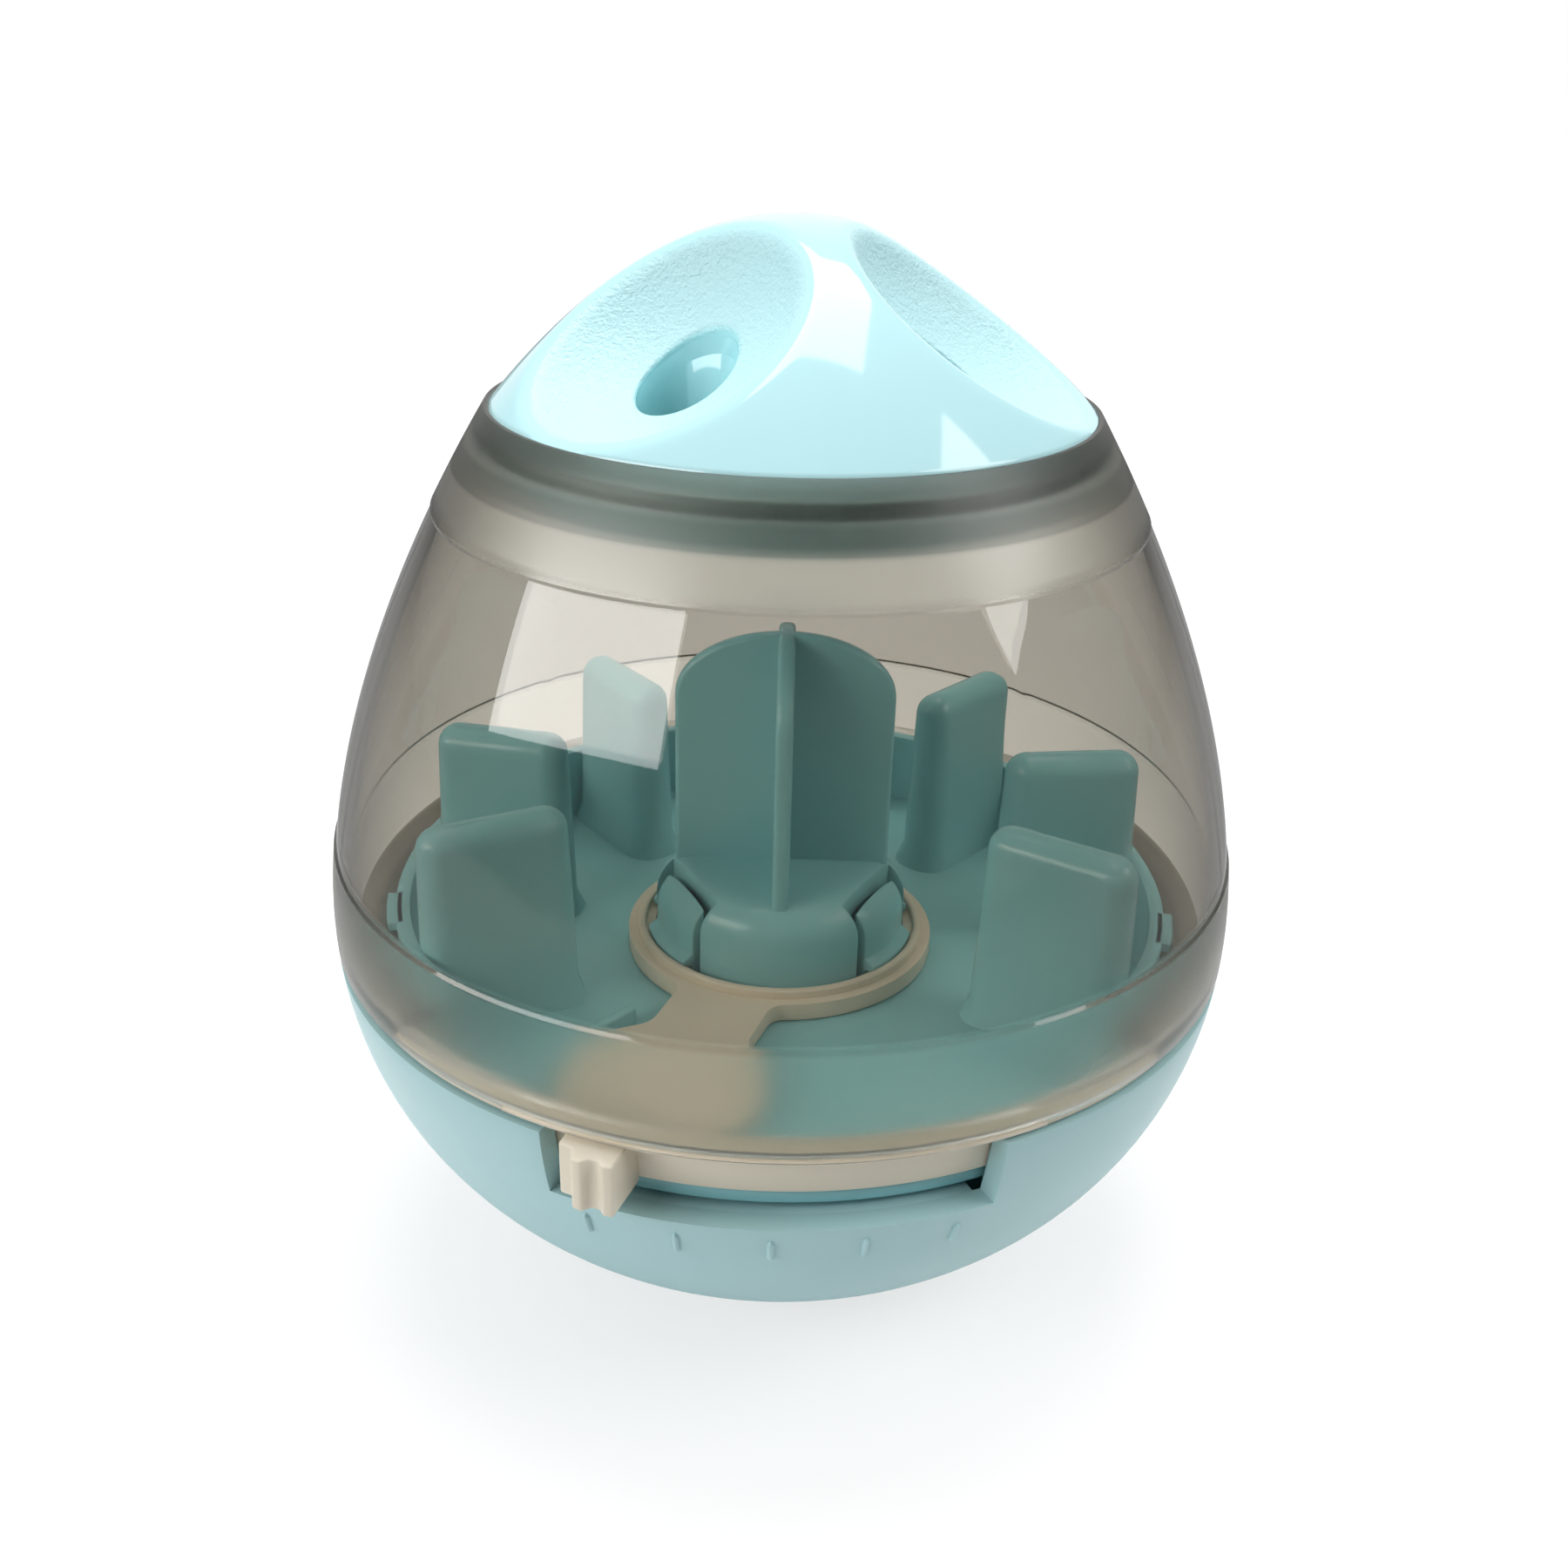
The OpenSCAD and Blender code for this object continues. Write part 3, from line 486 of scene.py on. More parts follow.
def either(tree, share, first, second):
    """The first shader where the share is 0, and the second where it is 1."""
    pick = tree.nodes.new("ShaderNodeMixShader")
    for socket, output in zip(pick.inputs, (share, first, second)):
        tree.links.new(output, socket)
    return pick.outputs[0]


def grain(tree, height, strength, distance):
    """A fine relief that only the light sees."""
    bump = tree.nodes.new("ShaderNodeBump")
    bump.inputs["Strength"].default_value = strength
    bump.inputs["Distance"].default_value = distance
    tree.links.new(height, bump.inputs["Height"])
    return bump.outputs["Normal"]


print("Shader helpers:", [f.__name__ for f in (own_place, noise, spread, combined, two_tone, either, grain)])

# %% [markdown]
# The three satin plastics differ only in colour and gloss, so one function makes them. Two
# metals hide under the cover: the weight is raw iron from a sand mould, dark and rough, and the
# screws are plated.


# %% Plastic and metal materials
COLOUR_SCALE, GLOSS_SCALE, GRAIN_SCALE, PLASTIC_IOR = 22.0, 60.0, 2600.0, 1.5


def plastic(name, colour, shade, rough, rough_spread):
    """Moulded plastic: soft colour drift, uneven gloss and a fine spark-eroded grain."""
    material, tree, skin = start_material(name)
    tree.links.new(two_tone(tree, noise(tree, COLOUR_SCALE), colour, shade), skin.inputs["Base Color"])
    gloss = spread(tree, noise(tree, GLOSS_SCALE), rough, rough + rough_spread)
    tree.links.new(gloss, skin.inputs["Roughness"])
    tree.links.new(grain(tree, noise(tree, GRAIN_SCALE, 2.0), 0.04, 0.0002), skin.inputs["Normal"])
    skin.inputs["IOR"].default_value = PLASTIC_IOR
    return material


BOWL_BLUE = plastic("bowl_blue_satin", (0.355, 0.56, 0.58), (0.345, 0.545, 0.57), 0.34, 0.08)
MAZE_BLUE = plastic("maze_blue_satin", (0.265, 0.56, 0.60), (0.255, 0.54, 0.58), 0.20, 0.07)
LEVER_SAND = plastic("lever_sand_satin", (0.69, 0.63, 0.515), (0.67, 0.61, 0.495), 0.38, 0.08)


def metal(name, colour, rough, rough_spread, bump, scale):
    material, tree, skin = start_material(name)
    skin.inputs["Base Color"].default_value = (*colour, 1)
    skin.inputs["Metallic"].default_value = 1.0
    tree.links.new(spread(tree, noise(tree, scale), rough, rough + rough_spread), skin.inputs["Roughness"])
    tree.links.new(grain(tree, noise(tree, scale * 3), bump, 0.0003), skin.inputs["Normal"])
    return material


CAST_IRON = metal("cast_iron_sand_skin", (0.13, 0.13, 0.135), 0.55, 0.2, 0.5, 500.0)
PLATED_STEEL = metal("plated_steel", (0.62, 0.62, 0.63), 0.22, 0.1, 0.05, 900.0)
print("Plastics and metals:", [m.name for m in (BOWL_BLUE, MAZE_BLUE, LEVER_SAND, CAST_IRON, PLATED_STEEL)])

# %% [markdown]
# The cap's dishes are textured where the dome round them is polished. The dish is a ball's
# surface, so the distance from that ball's middle tells the shader where it is: no mask has to
# be painted. The outlets are bored straight down, so the distance from their axes marks them in
# the same way, and their walls get a painted glow: a brighter, deeper blue that stands in for the
# light that passes through the thin plastic and bounces round inside the bore.

# %% The cap's material
CAP_INSET, DISH_IN, OUTLET_IN = 0.7, 5.6, 13.5
CAP_RISE, CAP_R = 21.6, skin_r(MOUTH_H) - CAP_INSET
DISH_R, DISH_AT, DISH_UP, DISH_TURN = 24.4, CAP_R - DISH_IN, 24.9, -44.0
OUTLET_R, OUTLET_AT, DUCT_R = 5.8, DISH_AT - OUTLET_IN, 7.2
DISH_ANGLES = [DISH_TURN + 120 * i for i in range(3)]
# the last of these is a painted glow: a brighter, deeper blue on the outlets' walls for light that passes
# through the plastic
DOME_BLUE, DISH_BLUE, PAINTED_BORE_GLOW = (0.44, 0.70, 0.735), (0.455, 0.715, 0.75), (0.40, 0.87, 0.93)
POLISHED, TEXTURED, STIPPLE_SCALE = 0.07, 0.46, 1500.0


def near_any(tree, where, points, full, none):
    """1 within a distance of any point, fading to 0 at a second distance, in millimetres."""
    mask = None
    for point in points:
        away = tree.nodes.new("ShaderNodeVectorMath")
        away.operation = "DISTANCE"
        tree.links.new(where, away.inputs[0])
        away.inputs[1].default_value = [v * MM for v in point]
        near = spread(tree, away.outputs["Value"], 1.0, 0.0, full * MM, none * MM)
        mask = near if mask is None else combined(tree, "MAXIMUM", mask, near)
    return mask


def cap_material():
    material, tree, skin = start_material("cap_pale_blue_gloss")
    where = own_place(tree)
    balls = [around(DISH_AT, angle, MOUTH_H + DISH_UP) for angle in DISH_ANGLES]
    in_dish = near_any(tree, where, balls, DISH_R + 0.05, DISH_R + 0.6)
    flat = tree.nodes.new("ShaderNodeVectorMath")
    flat.operation = "MULTIPLY"
    flat.inputs[1].default_value = (1, 1, 0)
    tree.links.new(where, flat.inputs[0])
    axes = [around(OUTLET_AT, angle, 0) for angle in DISH_ANGLES]
    bore_glow_mask = near_any(tree, flat.outputs[0], axes, OUTLET_R - 0.3, OUTLET_R + 0.3)
    outside = two_tone(tree, in_dish, DOME_BLUE, DISH_BLUE)
    # painted glow: the outlets' walls get the brighter blue in place of light passing through the plastic and
    # bouncing inside the bore
    tree.links.new(two_tone(tree, bore_glow_mask, outside, PAINTED_BORE_GLOW), skin.inputs["Base Color"])
    tree.links.new(spread(tree, in_dish, POLISHED, TEXTURED, 0.0, 1.0), skin.inputs["Roughness"])
    stipple = combined(tree, "MULTIPLY", noise(tree, STIPPLE_SCALE, 2.0, 0.7), in_dish)
    tree.links.new(grain(tree, stipple, 0.7, 0.0004), skin.inputs["Normal"])
    skin.inputs["IOR"].default_value = PLASTIC_IOR
    return material


CAP_BLUE = cap_material()
print("Cap dishes at", DISH_ANGLES)

# %% [markdown]
# The smoked shell is clear in its middle and frosted in a band at the top and another at the
# foot, where a step of a quarter of a millimetre marks the change. Height alone tells the bands
# apart, so one colour ramp over the height holds every band: its colour is the tint that a wall
# gives to light, and its alpha carries the roughness. Part of the upper band is painted shade: a
# darker tint below the cap's seat stands in for the shade on the cap's skirt behind the wall. Lamps
# would be stopped by glass, so rays on their way to a lamp meet a Transparent shader in the wall's
# tint instead, and the maze inside is lit as it is in real smoked plastic.

# %% The shell's material
FROST_LOW_H, FROST_HIGH_H = 62.0, 105.0
SMOKE, FOOT_TINT, BAND_TINT = (0.735, 0.70, 0.655), (0.97, 0.94, 0.89), (0.90, 0.87, 0.82)
# the first of these is painted shade: a darker tint for the cap's skirt lying in shade behind the upper band
SKIRT_SHADE_TINT, LIP_TINT = (0.47, 0.47, 0.44), (0.68, 0.67, 0.63)
SMOKE_DEPTH, SMOKE_DENSITY = (0.55, 0.56, 0.52), 240.0
CLEAR, FROSTED, BLURRED = 0.02, 0.29, 0.42
FINISHES = [
    # from height, to height, tint, roughness: between two rows one fades into the other
    (50.0, FROST_LOW_H - 0.2, FOOT_TINT, FROSTED),
    (FROST_LOW_H + 0.2, FROST_HIGH_H - 0.2, SMOKE, CLEAR),
    (FROST_HIGH_H + 0.2, 109.8, BAND_TINT, FROSTED),
    # painted shade: this darker tint stands in for the cap's skirt in shade behind the wall; the next row,
    # over the seat, is painted lighter so that the seat's thicker glass shows no dark ring
    (110.1, 112.6, SKIRT_SHADE_TINT, BLURRED),
    (113.2, 114.4, BAND_TINT, BLURRED),
    (114.8, 116.0, LIP_TINT, BLURRED),
]


def shell_material():
    material, tree, skin = start_material("smoked_shell")
    skin.inputs["Transmission Weight"].default_value = 1.0
    skin.inputs["IOR"].default_value = 1.45
    apart = tree.nodes.new("ShaderNodeSeparateXYZ")
    tree.links.new(own_place(tree), apart.inputs[0])
    height = spread(tree, apart.outputs["Z"], 0.0, 1.0, SHELL_LOW_H * MM, MOUTH_H * MM)
    finish = tree.nodes.new("ShaderNodeValToRGB")
    stops = finish.color_ramp.elements
    for low, high, tint, rough in FINISHES:
        for z in (low, high):
            stops.new((z - SHELL_LOW_H) / (MOUTH_H - SHELL_LOW_H)).color = (*tint, rough)
    stops.remove(stops[0])
    stops.remove(stops[-1])
    tree.links.new(height, finish.inputs["Fac"])
    tree.links.new(finish.outputs["Color"], skin.inputs["Base Color"])
    tree.links.new(finish.outputs["Alpha"], skin.inputs["Roughness"])
    # a ray crosses both faces of the wall, so each face gives the root of the tint
    pass_light = tree.nodes.new("ShaderNodeBsdfTransparent")
    pass_light.inputs["Color"].default_value = (*[c**0.5 for c in SMOKE], 1)
    to_lamp = tree.nodes.new("ShaderNodeLightPath").outputs["Is Shadow Ray"]
    out = tree.nodes["Material Output"]
    tree.links.new(either(tree, to_lamp, skin.outputs[0], pass_light.outputs[0]), out.inputs["Surface"])
    smoke = tree.nodes.new("ShaderNodeVolumeAbsorption")
    smoke.inputs["Color"].default_value = (*SMOKE_DEPTH, 1)
    smoke.inputs["Density"].default_value = SMOKE_DENSITY
    tree.links.new(smoke.outputs[0], out.inputs["Volume"])
    return material


SMOKED = shell_material()
print("Shell tint per wall:", SMOKE)

# %% [markdown]
# ## Base bowl
# The bowl is a turned wall with an open-topped slot for the lever. It is lofted from columns,
# and inside the slot each column stops at the slot's lower edge. Its rim and the slot's corners
# get a small moulded radius from a Bevel modifier.

# %% The bowl's wall
SLOT_STEPS, WALL_STEPS, FLOOR_STEPS = 5, 26, 20


def bowl_wall():
    inner_floor = EQUATOR_H - (BOWL_DEPTH - BASE_WALL)
    outer = bowl_curve(0, 0, SLOT_LOW_H, WALL_STEPS)
    outer += bowl_curve(0, SLOT_LOW_H, RIM_H, SLOT_STEPS)[1:]
    inner = bowl_curve(BASE_WALL, inner_floor, SLOT_LOW_H, FLOOR_STEPS)
    inner += bowl_curve(BASE_WALL, SLOT_LOW_H, RIM_H, SLOT_STEPS)[1:]
    whole = [(0, 0), *outer, *reversed(inner)]
    slotted = [(0, 0)] + [p if p[1] <= SLOT_LOW_H else outer[WALL_STEPS] for p in outer]
    slotted += [p if p[1] <= SLOT_LOW_H else inner[FLOOR_STEPS] for p in reversed(inner)]
    return gapped_loft("bowl_wall", 180, SLOT_HALF, slotted, whole)


bowl_mesh = softened(bowl_wall(), 0.4, 3)
print("Bowl wall faces:", len(bowl_mesh.polygons))

# %% [markdown]
# Twelve ribs carry the maze plate, three hooks hold its lugs, three bosses take the cover's
# screws and a ring carries the iron weight. Each could be cut to the bowl's shape by a boolean.
# Here their feet end inside the wall, at half its thickness, which shows no seam and takes no
# cut. They are copies round the axis, and so are the five setting marks under the slot.

# %% Setting marks and ribs of the bowl
MARK_PITCH, MARK_TOP_H, MARK_LEN, MARK_W, MARK_COUNT = 10.75, 36.2, 3.7, 0.9, 5
MARK_PROUD, MARK_ROOT, MARK_END_SHARE = 0.5, 0.25, 0.35
IN_WALL = BASE_WALL / 2
RIB_TOP_H, RIB_LOW_H, RIB_T, RIB_LEN, RIB_COUNT = 33.9, 20.9, 1.6, 5, 12


def setting_mark():
    """A half-round bar that follows the bowl's curve, with rounded ends."""
    rows, across, along = [], 8, 10
    for i in range(along + 1):
        t = i / along
        z = MARK_TOP_H - MARK_LEN * t
        end = math.sqrt(max(0.0, 1 - (2 * abs(t - 0.5)) ** 8))
        row = []
        for j in range(across + 1):
            a = math.pi * j / across
            half = MARK_W / 2 * math.cos(a) * (MARK_END_SHARE + (1 - MARK_END_SHARE) * end)
            row.append((half, -skin_r(z) - MARK_PROUD * math.sin(a) * end + MARK_ROOT * (1 - math.sin(a)), z))
        rows.append(row)
    return skinned("setting_mark", rows)


def rest_rib():
    """A rib that carries the maze plate, sloping back to the wall under its end."""
    inner = skin_r(RIB_TOP_H, BASE_WALL) - RIB_LEN
    side = [(skin_r(RIB_LOW_H, IN_WALL), RIB_LOW_H), (skin_r(RIB_LOW_H, BASE_WALL), RIB_LOW_H)]
    side += [(inner, RIB_TOP_H - RIB_LEN), (inner, RIB_TOP_H), (skin_r(RIB_TOP_H, IN_WALL), RIB_TOP_H)]
    faces = [[(x, -r, z) for r, z in side] for x in (-RIB_T / 2, RIB_T / 2)]
    return softened(skinned("rest_rib", faces), 0.2)


marks = copies(setting_mark(), MARK_COUNT, MARK_PITCH, 0, BOWL_BLUE)
ribs = copies(rest_rib(), RIB_COUNT, 360 / RIB_COUNT, 0, BOWL_BLUE)
print("Marks have", len(marks.polygons), "faces and ribs have", len(ribs.polygons))

# %% Hooks of the bowl and the sill under its slot
LUG_HALF, LUG_T, LUG_COUNT, LUG_RUN = 4.5, 1.2, 3, 14.4
HOOK_IN, HOOK_LOW_H = 52.7, 36.9
SILL_LOW_H, SILL_GAP = 35.4, 0.04


def arc_block(name, outline, half, steps=6):
    """A block that follows the axis round, half degrees to each side of the front."""
    rows = [[around(r, -half + 2 * half * i / steps, z) for r, z in outline] for i in range(steps + 1)]
    return softened(skinned(name, rows), 0.15)


hook_outline = section(HOOK_IN, skin_r(HOOK_LOW_H, IN_WALL), HOOK_LOW_H, HOOK_LOW_H + LUG_T)
hook = arc_block("hook", hook_outline, LUG_HALF)
bowl_hooks = copies(hook, LUG_COUNT, 360 / LUG_COUNT, 180 + LUG_RUN, BOWL_BLUE)
sill_outline = section(HOOK_IN, skin_r(SILL_LOW_H, IN_WALL), SILL_LOW_H, SLOT_LOW_H - SILL_GAP)
sill = arc_block("sill", sill_outline, SLOT_HALF - 1, 24)
print("Hooks have", len(bowl_hooks.polygons), "faces and the sill has", len(sill.polygons))

# %% Screw bosses, the weight's seat and the whole bowl
BOSS_R, BOSS_LOW_H, BOSS_TOP_H, SCREW_IN, SCREWS = 3.2, 4.2, 15.9, 8.3, 3
WEIGHT_GAP, WEIGHT_BEVEL, SEAT_IN, SEAT_RING_W, WEIGHT_SEAT_H = 1.8, 2.2, 5.6, 2.8, 6.8
BOSS_AT = skin_r(BOSS_TOP_H, BASE_WALL) - FIT_GAP - SCREW_IN


def screw_boss():
    """A post for a screw, its foot shaped to the bowl's wall."""
    outline = [(0, BOSS_LOW_H), (BOSS_R, BOSS_LOW_H), (BOSS_R, BOSS_TOP_H), (0, BOSS_TOP_H)]
    boss = turned("boss", rounded(outline, 0.3, closed=False), 32)
    for v in boss.vertices:
        v.co.y -= BOSS_AT * MM
        if v.co.z < 0.01:
            v.co.z = wall_h(v.co.xy.length / MM, IN_WALL) * MM
    return boss


def seat_ring():
    """The ring that the iron weight stands on."""
    inner = BOSS_AT - BOSS_R - WEIGHT_GAP - WEIGHT_BEVEL - SEAT_IN
    outer = inner + SEAT_RING_W
    outline = [(inner, wall_h(inner, IN_WALL)), (outer, wall_h(outer, IN_WALL))]
    return turned("seat_ring", outline + [(outer, WEIGHT_SEAT_H), (inner, WEIGHT_SEAT_H)], 96)


bosses = copies(screw_boss(), SCREWS, 360 / SCREWS, 180, BOWL_BLUE)
bowl_mesh = joined("base_bowl", [bowl_mesh, marks, ribs, bowl_hooks, bosses, seat_ring(), sill])
show("base_bowl_moulding", bowl_mesh, BOWL_BLUE, "base", "base_bowl")

# %% [markdown]
# ## Maze plate
# Under the clear shell lies the maze: a round floor with an upstanding collar, seven tall fins
# with soft corners and leaning faces, four snap claws round the hub and a stop for the lever. The
# floor and its collar are one loft with a gap in it, and one cut opens the gate that lets the
# food up.

# %% Floor, collar and skirt
COLLAR_R, COLLAR_TOP_H, COLLAR_GAP = 52.4, 52.3, 50.0
PLATE_LOW_H, SKIRT_LOW_H, PLATE_WALL = 39.2, 34.2, 2.0
PLATE_GAP, PLATE_BEVEL = 0.8, 0.3
FLOOR_R = skin_r(PLATE_LOW_H, BASE_WALL) - PLATE_GAP
GATE_R, GATE_AT, HUB_R, HUB_ROUND, SHUTTER_R = 9.5, 40.6, 17.2, 5.0, 12.4
GATE_CUT = (30, 44)


def plate_body():
    inside = COLLAR_R - PLATE_WALL
    top_in, top_out = (inside, COLLAR_TOP_H), (COLLAR_R, COLLAR_TOP_H)
    steps_r = [0, 8, HUB_R, 24, 31, 40, 46]
    under = [(FLOOR_R, FLOOR_H), (FLOOR_R, PLATE_LOW_H), (COLLAR_R, PLATE_LOW_H), (COLLAR_R, SKIRT_LOW_H)]
    under += [(inside, SKIRT_LOW_H), (inside, PLATE_LOW_H)] + [(r, PLATE_LOW_H) for r in reversed(steps_r)]
    floor = [(r, FLOOR_H) for r in steps_r] + [(inside, FLOOR_H)]
    with_collar = floor + [top_in, top_out, (COLLAR_R, FLOOR_H)] + under
    without = floor + [(inside, FLOOR_H), (COLLAR_R, FLOOR_H), (COLLAR_R, FLOOR_H)] + under
    return softened(gapped_loft("plate_body", 160, COLLAR_GAP, without, with_collar), PLATE_BEVEL)


gate_x, gate_y, _ = around(GATE_AT, LEVER_REST, 0)
gate_tool = moved(turned("gate_tool", section(0, GATE_R, *GATE_CUT), 64), x=gate_x, y=gate_y)
plate_mesh = cut_mesh(plate_body(), [gate_tool], "DIFFERENCE")
print("Plate body faces:", len(plate_mesh.polygons))

# %% [markdown]
# A fin is a stack of rounded rectangles that shrink and then close over the top, which is how a
# moulder's drafted, full-radius rib looks. A claw is a tongue of the hub's own shape, and the low
# barb on its face holds the lever's ring down. The stop stands where the shutter's edge arrives
# at the end of the lever's travel: three known lengths give its angle by the law of cosines.

# %% Fins
FIN_IN, FIN_OUT, FIN_T, FIN_TOP_H, FIN_LEAN, FIN_ROUND = 30.2, 51.0, 7.6, 68.6, 0.8, 2.9
FIN_CORNER, FIN_FOOT, FIN_COUNT, FIN_PITCH, FIN_TURN = 3.7, 0.8, 7, 40, 178
FIN_LEN, SUNK = FIN_OUT - FIN_IN, 0.3


def rounded_block(name, length, width, low, high, lean, top_round, corner, foot=0.0):
    """A drafted block with round corners and a domed top, its middle on the axis."""
    corner_steps, side_steps, dome_steps = 7, 8, 9
    levels = []
    for i in range(side_steps + 1):
        t = i / side_steps
        levels.append((lean * t, low + (high - top_round - low) * t))
    for i in range(1, dome_steps + 1):
        a = math.pi / 2 * i / dome_steps
        levels.append((lean + top_round * (1 - math.cos(a)), high - top_round * (1 - math.sin(a))))
    rows = []
    for inset, z in levels:
        if foot and z - low < foot:
            inset -= foot * (1 - (z - low) / foot) ** 2
        half_l, half_w = length / 2 - inset, width / 2 - inset
        c = max(0.02, min(corner, half_w, half_l) - 0.01)
        ring = []
        for quarter, (x, y) in enumerate(((1, 1), (-1, 1), (-1, -1), (1, -1))):
            start = 90 * quarter
            ring += arc(x * (half_w - c), y * (half_l - c), c, start, start + 90, corner_steps)
        rows.append([(x, y, z) for x, y in ring])
    return skinned(name, rows)


fin_shape = FIN_LEN, FIN_T, FLOOR_H - SUNK, FIN_TOP_H, FIN_LEAN, FIN_ROUND, FIN_CORNER, FIN_FOOT
fin = rounded_block("fin", *fin_shape)
moved(fin, y=-(FIN_IN + FIN_OUT) / 2)
fins = copies(fin, FIN_COUNT, FIN_PITCH, FIN_TURN, MAZE_BLUE)
print("Fins have", len(fins.polygons), "faces")

# %% Claws and the lever's stop
CLAW_BACK, CLAW_HALF, CLAW_TOP_H, CLAW_ROOT, NOTCH_ANGLE = 14.5, 5.6, 53.4, 0.5, 61.0
BARB_R, BARB_T, CATCH_H = 18.5, 0.85, 44.1


def snap_claw():
    """A sprung tongue cut out of the hub's own shape, with an outward barb low on its face."""
    steps, rows, root = 10, [], FLOOR_H - CLAW_ROOT
    for i in range(steps + 1):
        x = -CLAW_HALF + 2 * CLAW_HALF * i / steps
        face = [(HUB_R, root), (HUB_R, CATCH_H), (BARB_R, CATCH_H), (BARB_R, CATCH_H + BARB_T)]
        face.append((HUB_R, CATCH_H + 2 * BARB_T))
        last = math.degrees(math.acos((math.hypot(CLAW_BACK, x) - HUB_R + HUB_ROUND) / HUB_ROUND))
        face += arc(HUB_R - HUB_ROUND, CLAW_TOP_H - HUB_ROUND, HUB_ROUND, 0, last)
        rows.append([(x, -CLAW_BACK, root)] + [(x, -math.sqrt(r * r - x * x), z) for r, z in face])
    return softened(skinned("claw", rows), 0.2)


claw = snap_claw()
STOP_T, STOP_TOP_H = 1.5, 43.5
STOP_IN, STOP_OUT = FIN_IN + STOP_T - FIN_LEN / 6, FIN_IN + STOP_T + FIN_LEN / 6
STOP_TURN = math.acos((STOP_OUT**2 + GATE_AT**2 - SHUTTER_R**2) / (2 * STOP_OUT * GATE_AT))
STOP_TURN += math.asin((STOP_T / 2 + 2 * GAP) / STOP_OUT)
stop_rib = rounded_block("stop_rib", STOP_OUT - STOP_IN, STOP_T, FLOOR_H - SUNK, STOP_TOP_H, 0.05, 0.5, 0.7)
moved(stop_rib, y=-(STOP_IN + STOP_OUT) / 2, turn=-LEVER_REACH - math.degrees(STOP_TURN))
print("A claw has", len(claw.polygons), "faces, and the stop turns by", round(math.degrees(STOP_TURN), 2))

# %% Ribs underneath, lugs, screw boss and the whole plate
UNDER_LOW_H, UNDER_LEN, UNDER_AT, UNDER_T = 36.2, 33.2, 34.8, 2.0
under_rib = rounded_block("under_rib", UNDER_LEN, UNDER_T, UNDER_LOW_H, FLOOR_H - 1, 0.05, 0.3, 0.5)
moved(under_rib, y=-UNDER_AT)
LUG_IN, LUG_OUT, SHELL_LUG_TURN, SHELL_LUG_PITCH = 51.4, 53.5, 102.5, 55
POST_BOSS_IN, POST_BOSS_OUT, POST_BOSS_TOP_H = 1.4, 4.6, 40.5


def lug(name, low):
    return arc_block(name, section(LUG_IN, LUG_OUT, low, low + LUG_T), LUG_HALF)


plate_parts = [
    plate_mesh,
    fins,
    copies(claw, 2, 2 * NOTCH_ANGLE, 0, MAZE_BLUE),
    copies(claw, 2, 2 * NOTCH_ANGLE, 180, MAZE_BLUE),
    copies(lug("shell_lug", COLLAR_TOP_H - LUG_T), 2, SHELL_LUG_PITCH, SHELL_LUG_TURN, MAZE_BLUE),
    copies(lug("shell_lug", COLLAR_TOP_H - LUG_T), 2, SHELL_LUG_PITCH, -SHELL_LUG_TURN, MAZE_BLUE),
    copies(lug("bowl_lug", SKIRT_LOW_H), LUG_COUNT, 360 / LUG_COUNT, 180, MAZE_BLUE),
    copies(under_rib, 6, 60, 40, MAZE_BLUE),
    stop_rib,
    turned("screw_boss", section(POST_BOSS_IN, POST_BOSS_OUT, UNDER_LOW_H, POST_BOSS_TOP_H), 48),
]
maze_mesh = joined("maze_plate", plate_parts)
show("maze_plate_moulding", maze_mesh, MAZE_BLUE, "maze", "maze_plate")

# %% [markdown]
# ## Centre post
# A domed hub with four notches for the claws carries two crossed blades that end in an arch.
# The hub is turned, the notches are cut by four boxes, and the blades are flat mouldings with
# softened edges. The crossed blades break up the falling kibble.

# %% Hub and blades
HUB_TOP_H, NOTCH_IN, NOTCH_OUT, NOTCH_HALF, NOTCH_CUT = 54.4, 13.2, 19.0, 6.9, (40, 56)
HUB_IN, HUB_IN_TOP_H, HUB_SLOPE, SCREW_POST_R = 15.2, 49.4, 3.0, 4.6
POST_TOP_H, BLADE_HALF, BLADE_T, ARCH_H = 87.0, 14.6, 2.2, 8.8


def hub_body():
    shoulder = arc(HUB_R - HUB_ROUND, HUB_TOP_H - HUB_ROUND, HUB_ROUND, 0, 90, 10)
    wall = [(HUB_R, FLOOR_H + (HUB_TOP_H - HUB_ROUND - FLOOR_H) * i / 4) for i in range(4)]
    roof_h = HUB_IN_TOP_H + HUB_SLOPE
    inside = [(HUB_IN, FLOOR_H), (HUB_IN, HUB_IN_TOP_H), (HUB_IN - HUB_SLOPE, roof_h)]
    inside += [(SCREW_POST_R, roof_h), (SCREW_POST_R, FLOOR_H), (0, FLOOR_H)]
    outline = [(0, HUB_TOP_H), (6, HUB_TOP_H), *reversed(shoulder), *reversed(wall)] + inside
    notch = section(-NOTCH_HALF, NOTCH_HALF, -NOTCH_OUT, -NOTCH_IN)
    tools = [
        moved(prism("notch", notch, *NOTCH_CUT), turn=angle)
        for angle in (-NOTCH_ANGLE, NOTCH_ANGLE, 180 - NOTCH_ANGLE, 180 + NOTCH_ANGLE)
    ]
    mesh = tidy(cut_mesh(turned("hub", outline, 128), tools, "DIFFERENCE"))
    return softened(mesh, 0.25, 2, 35)


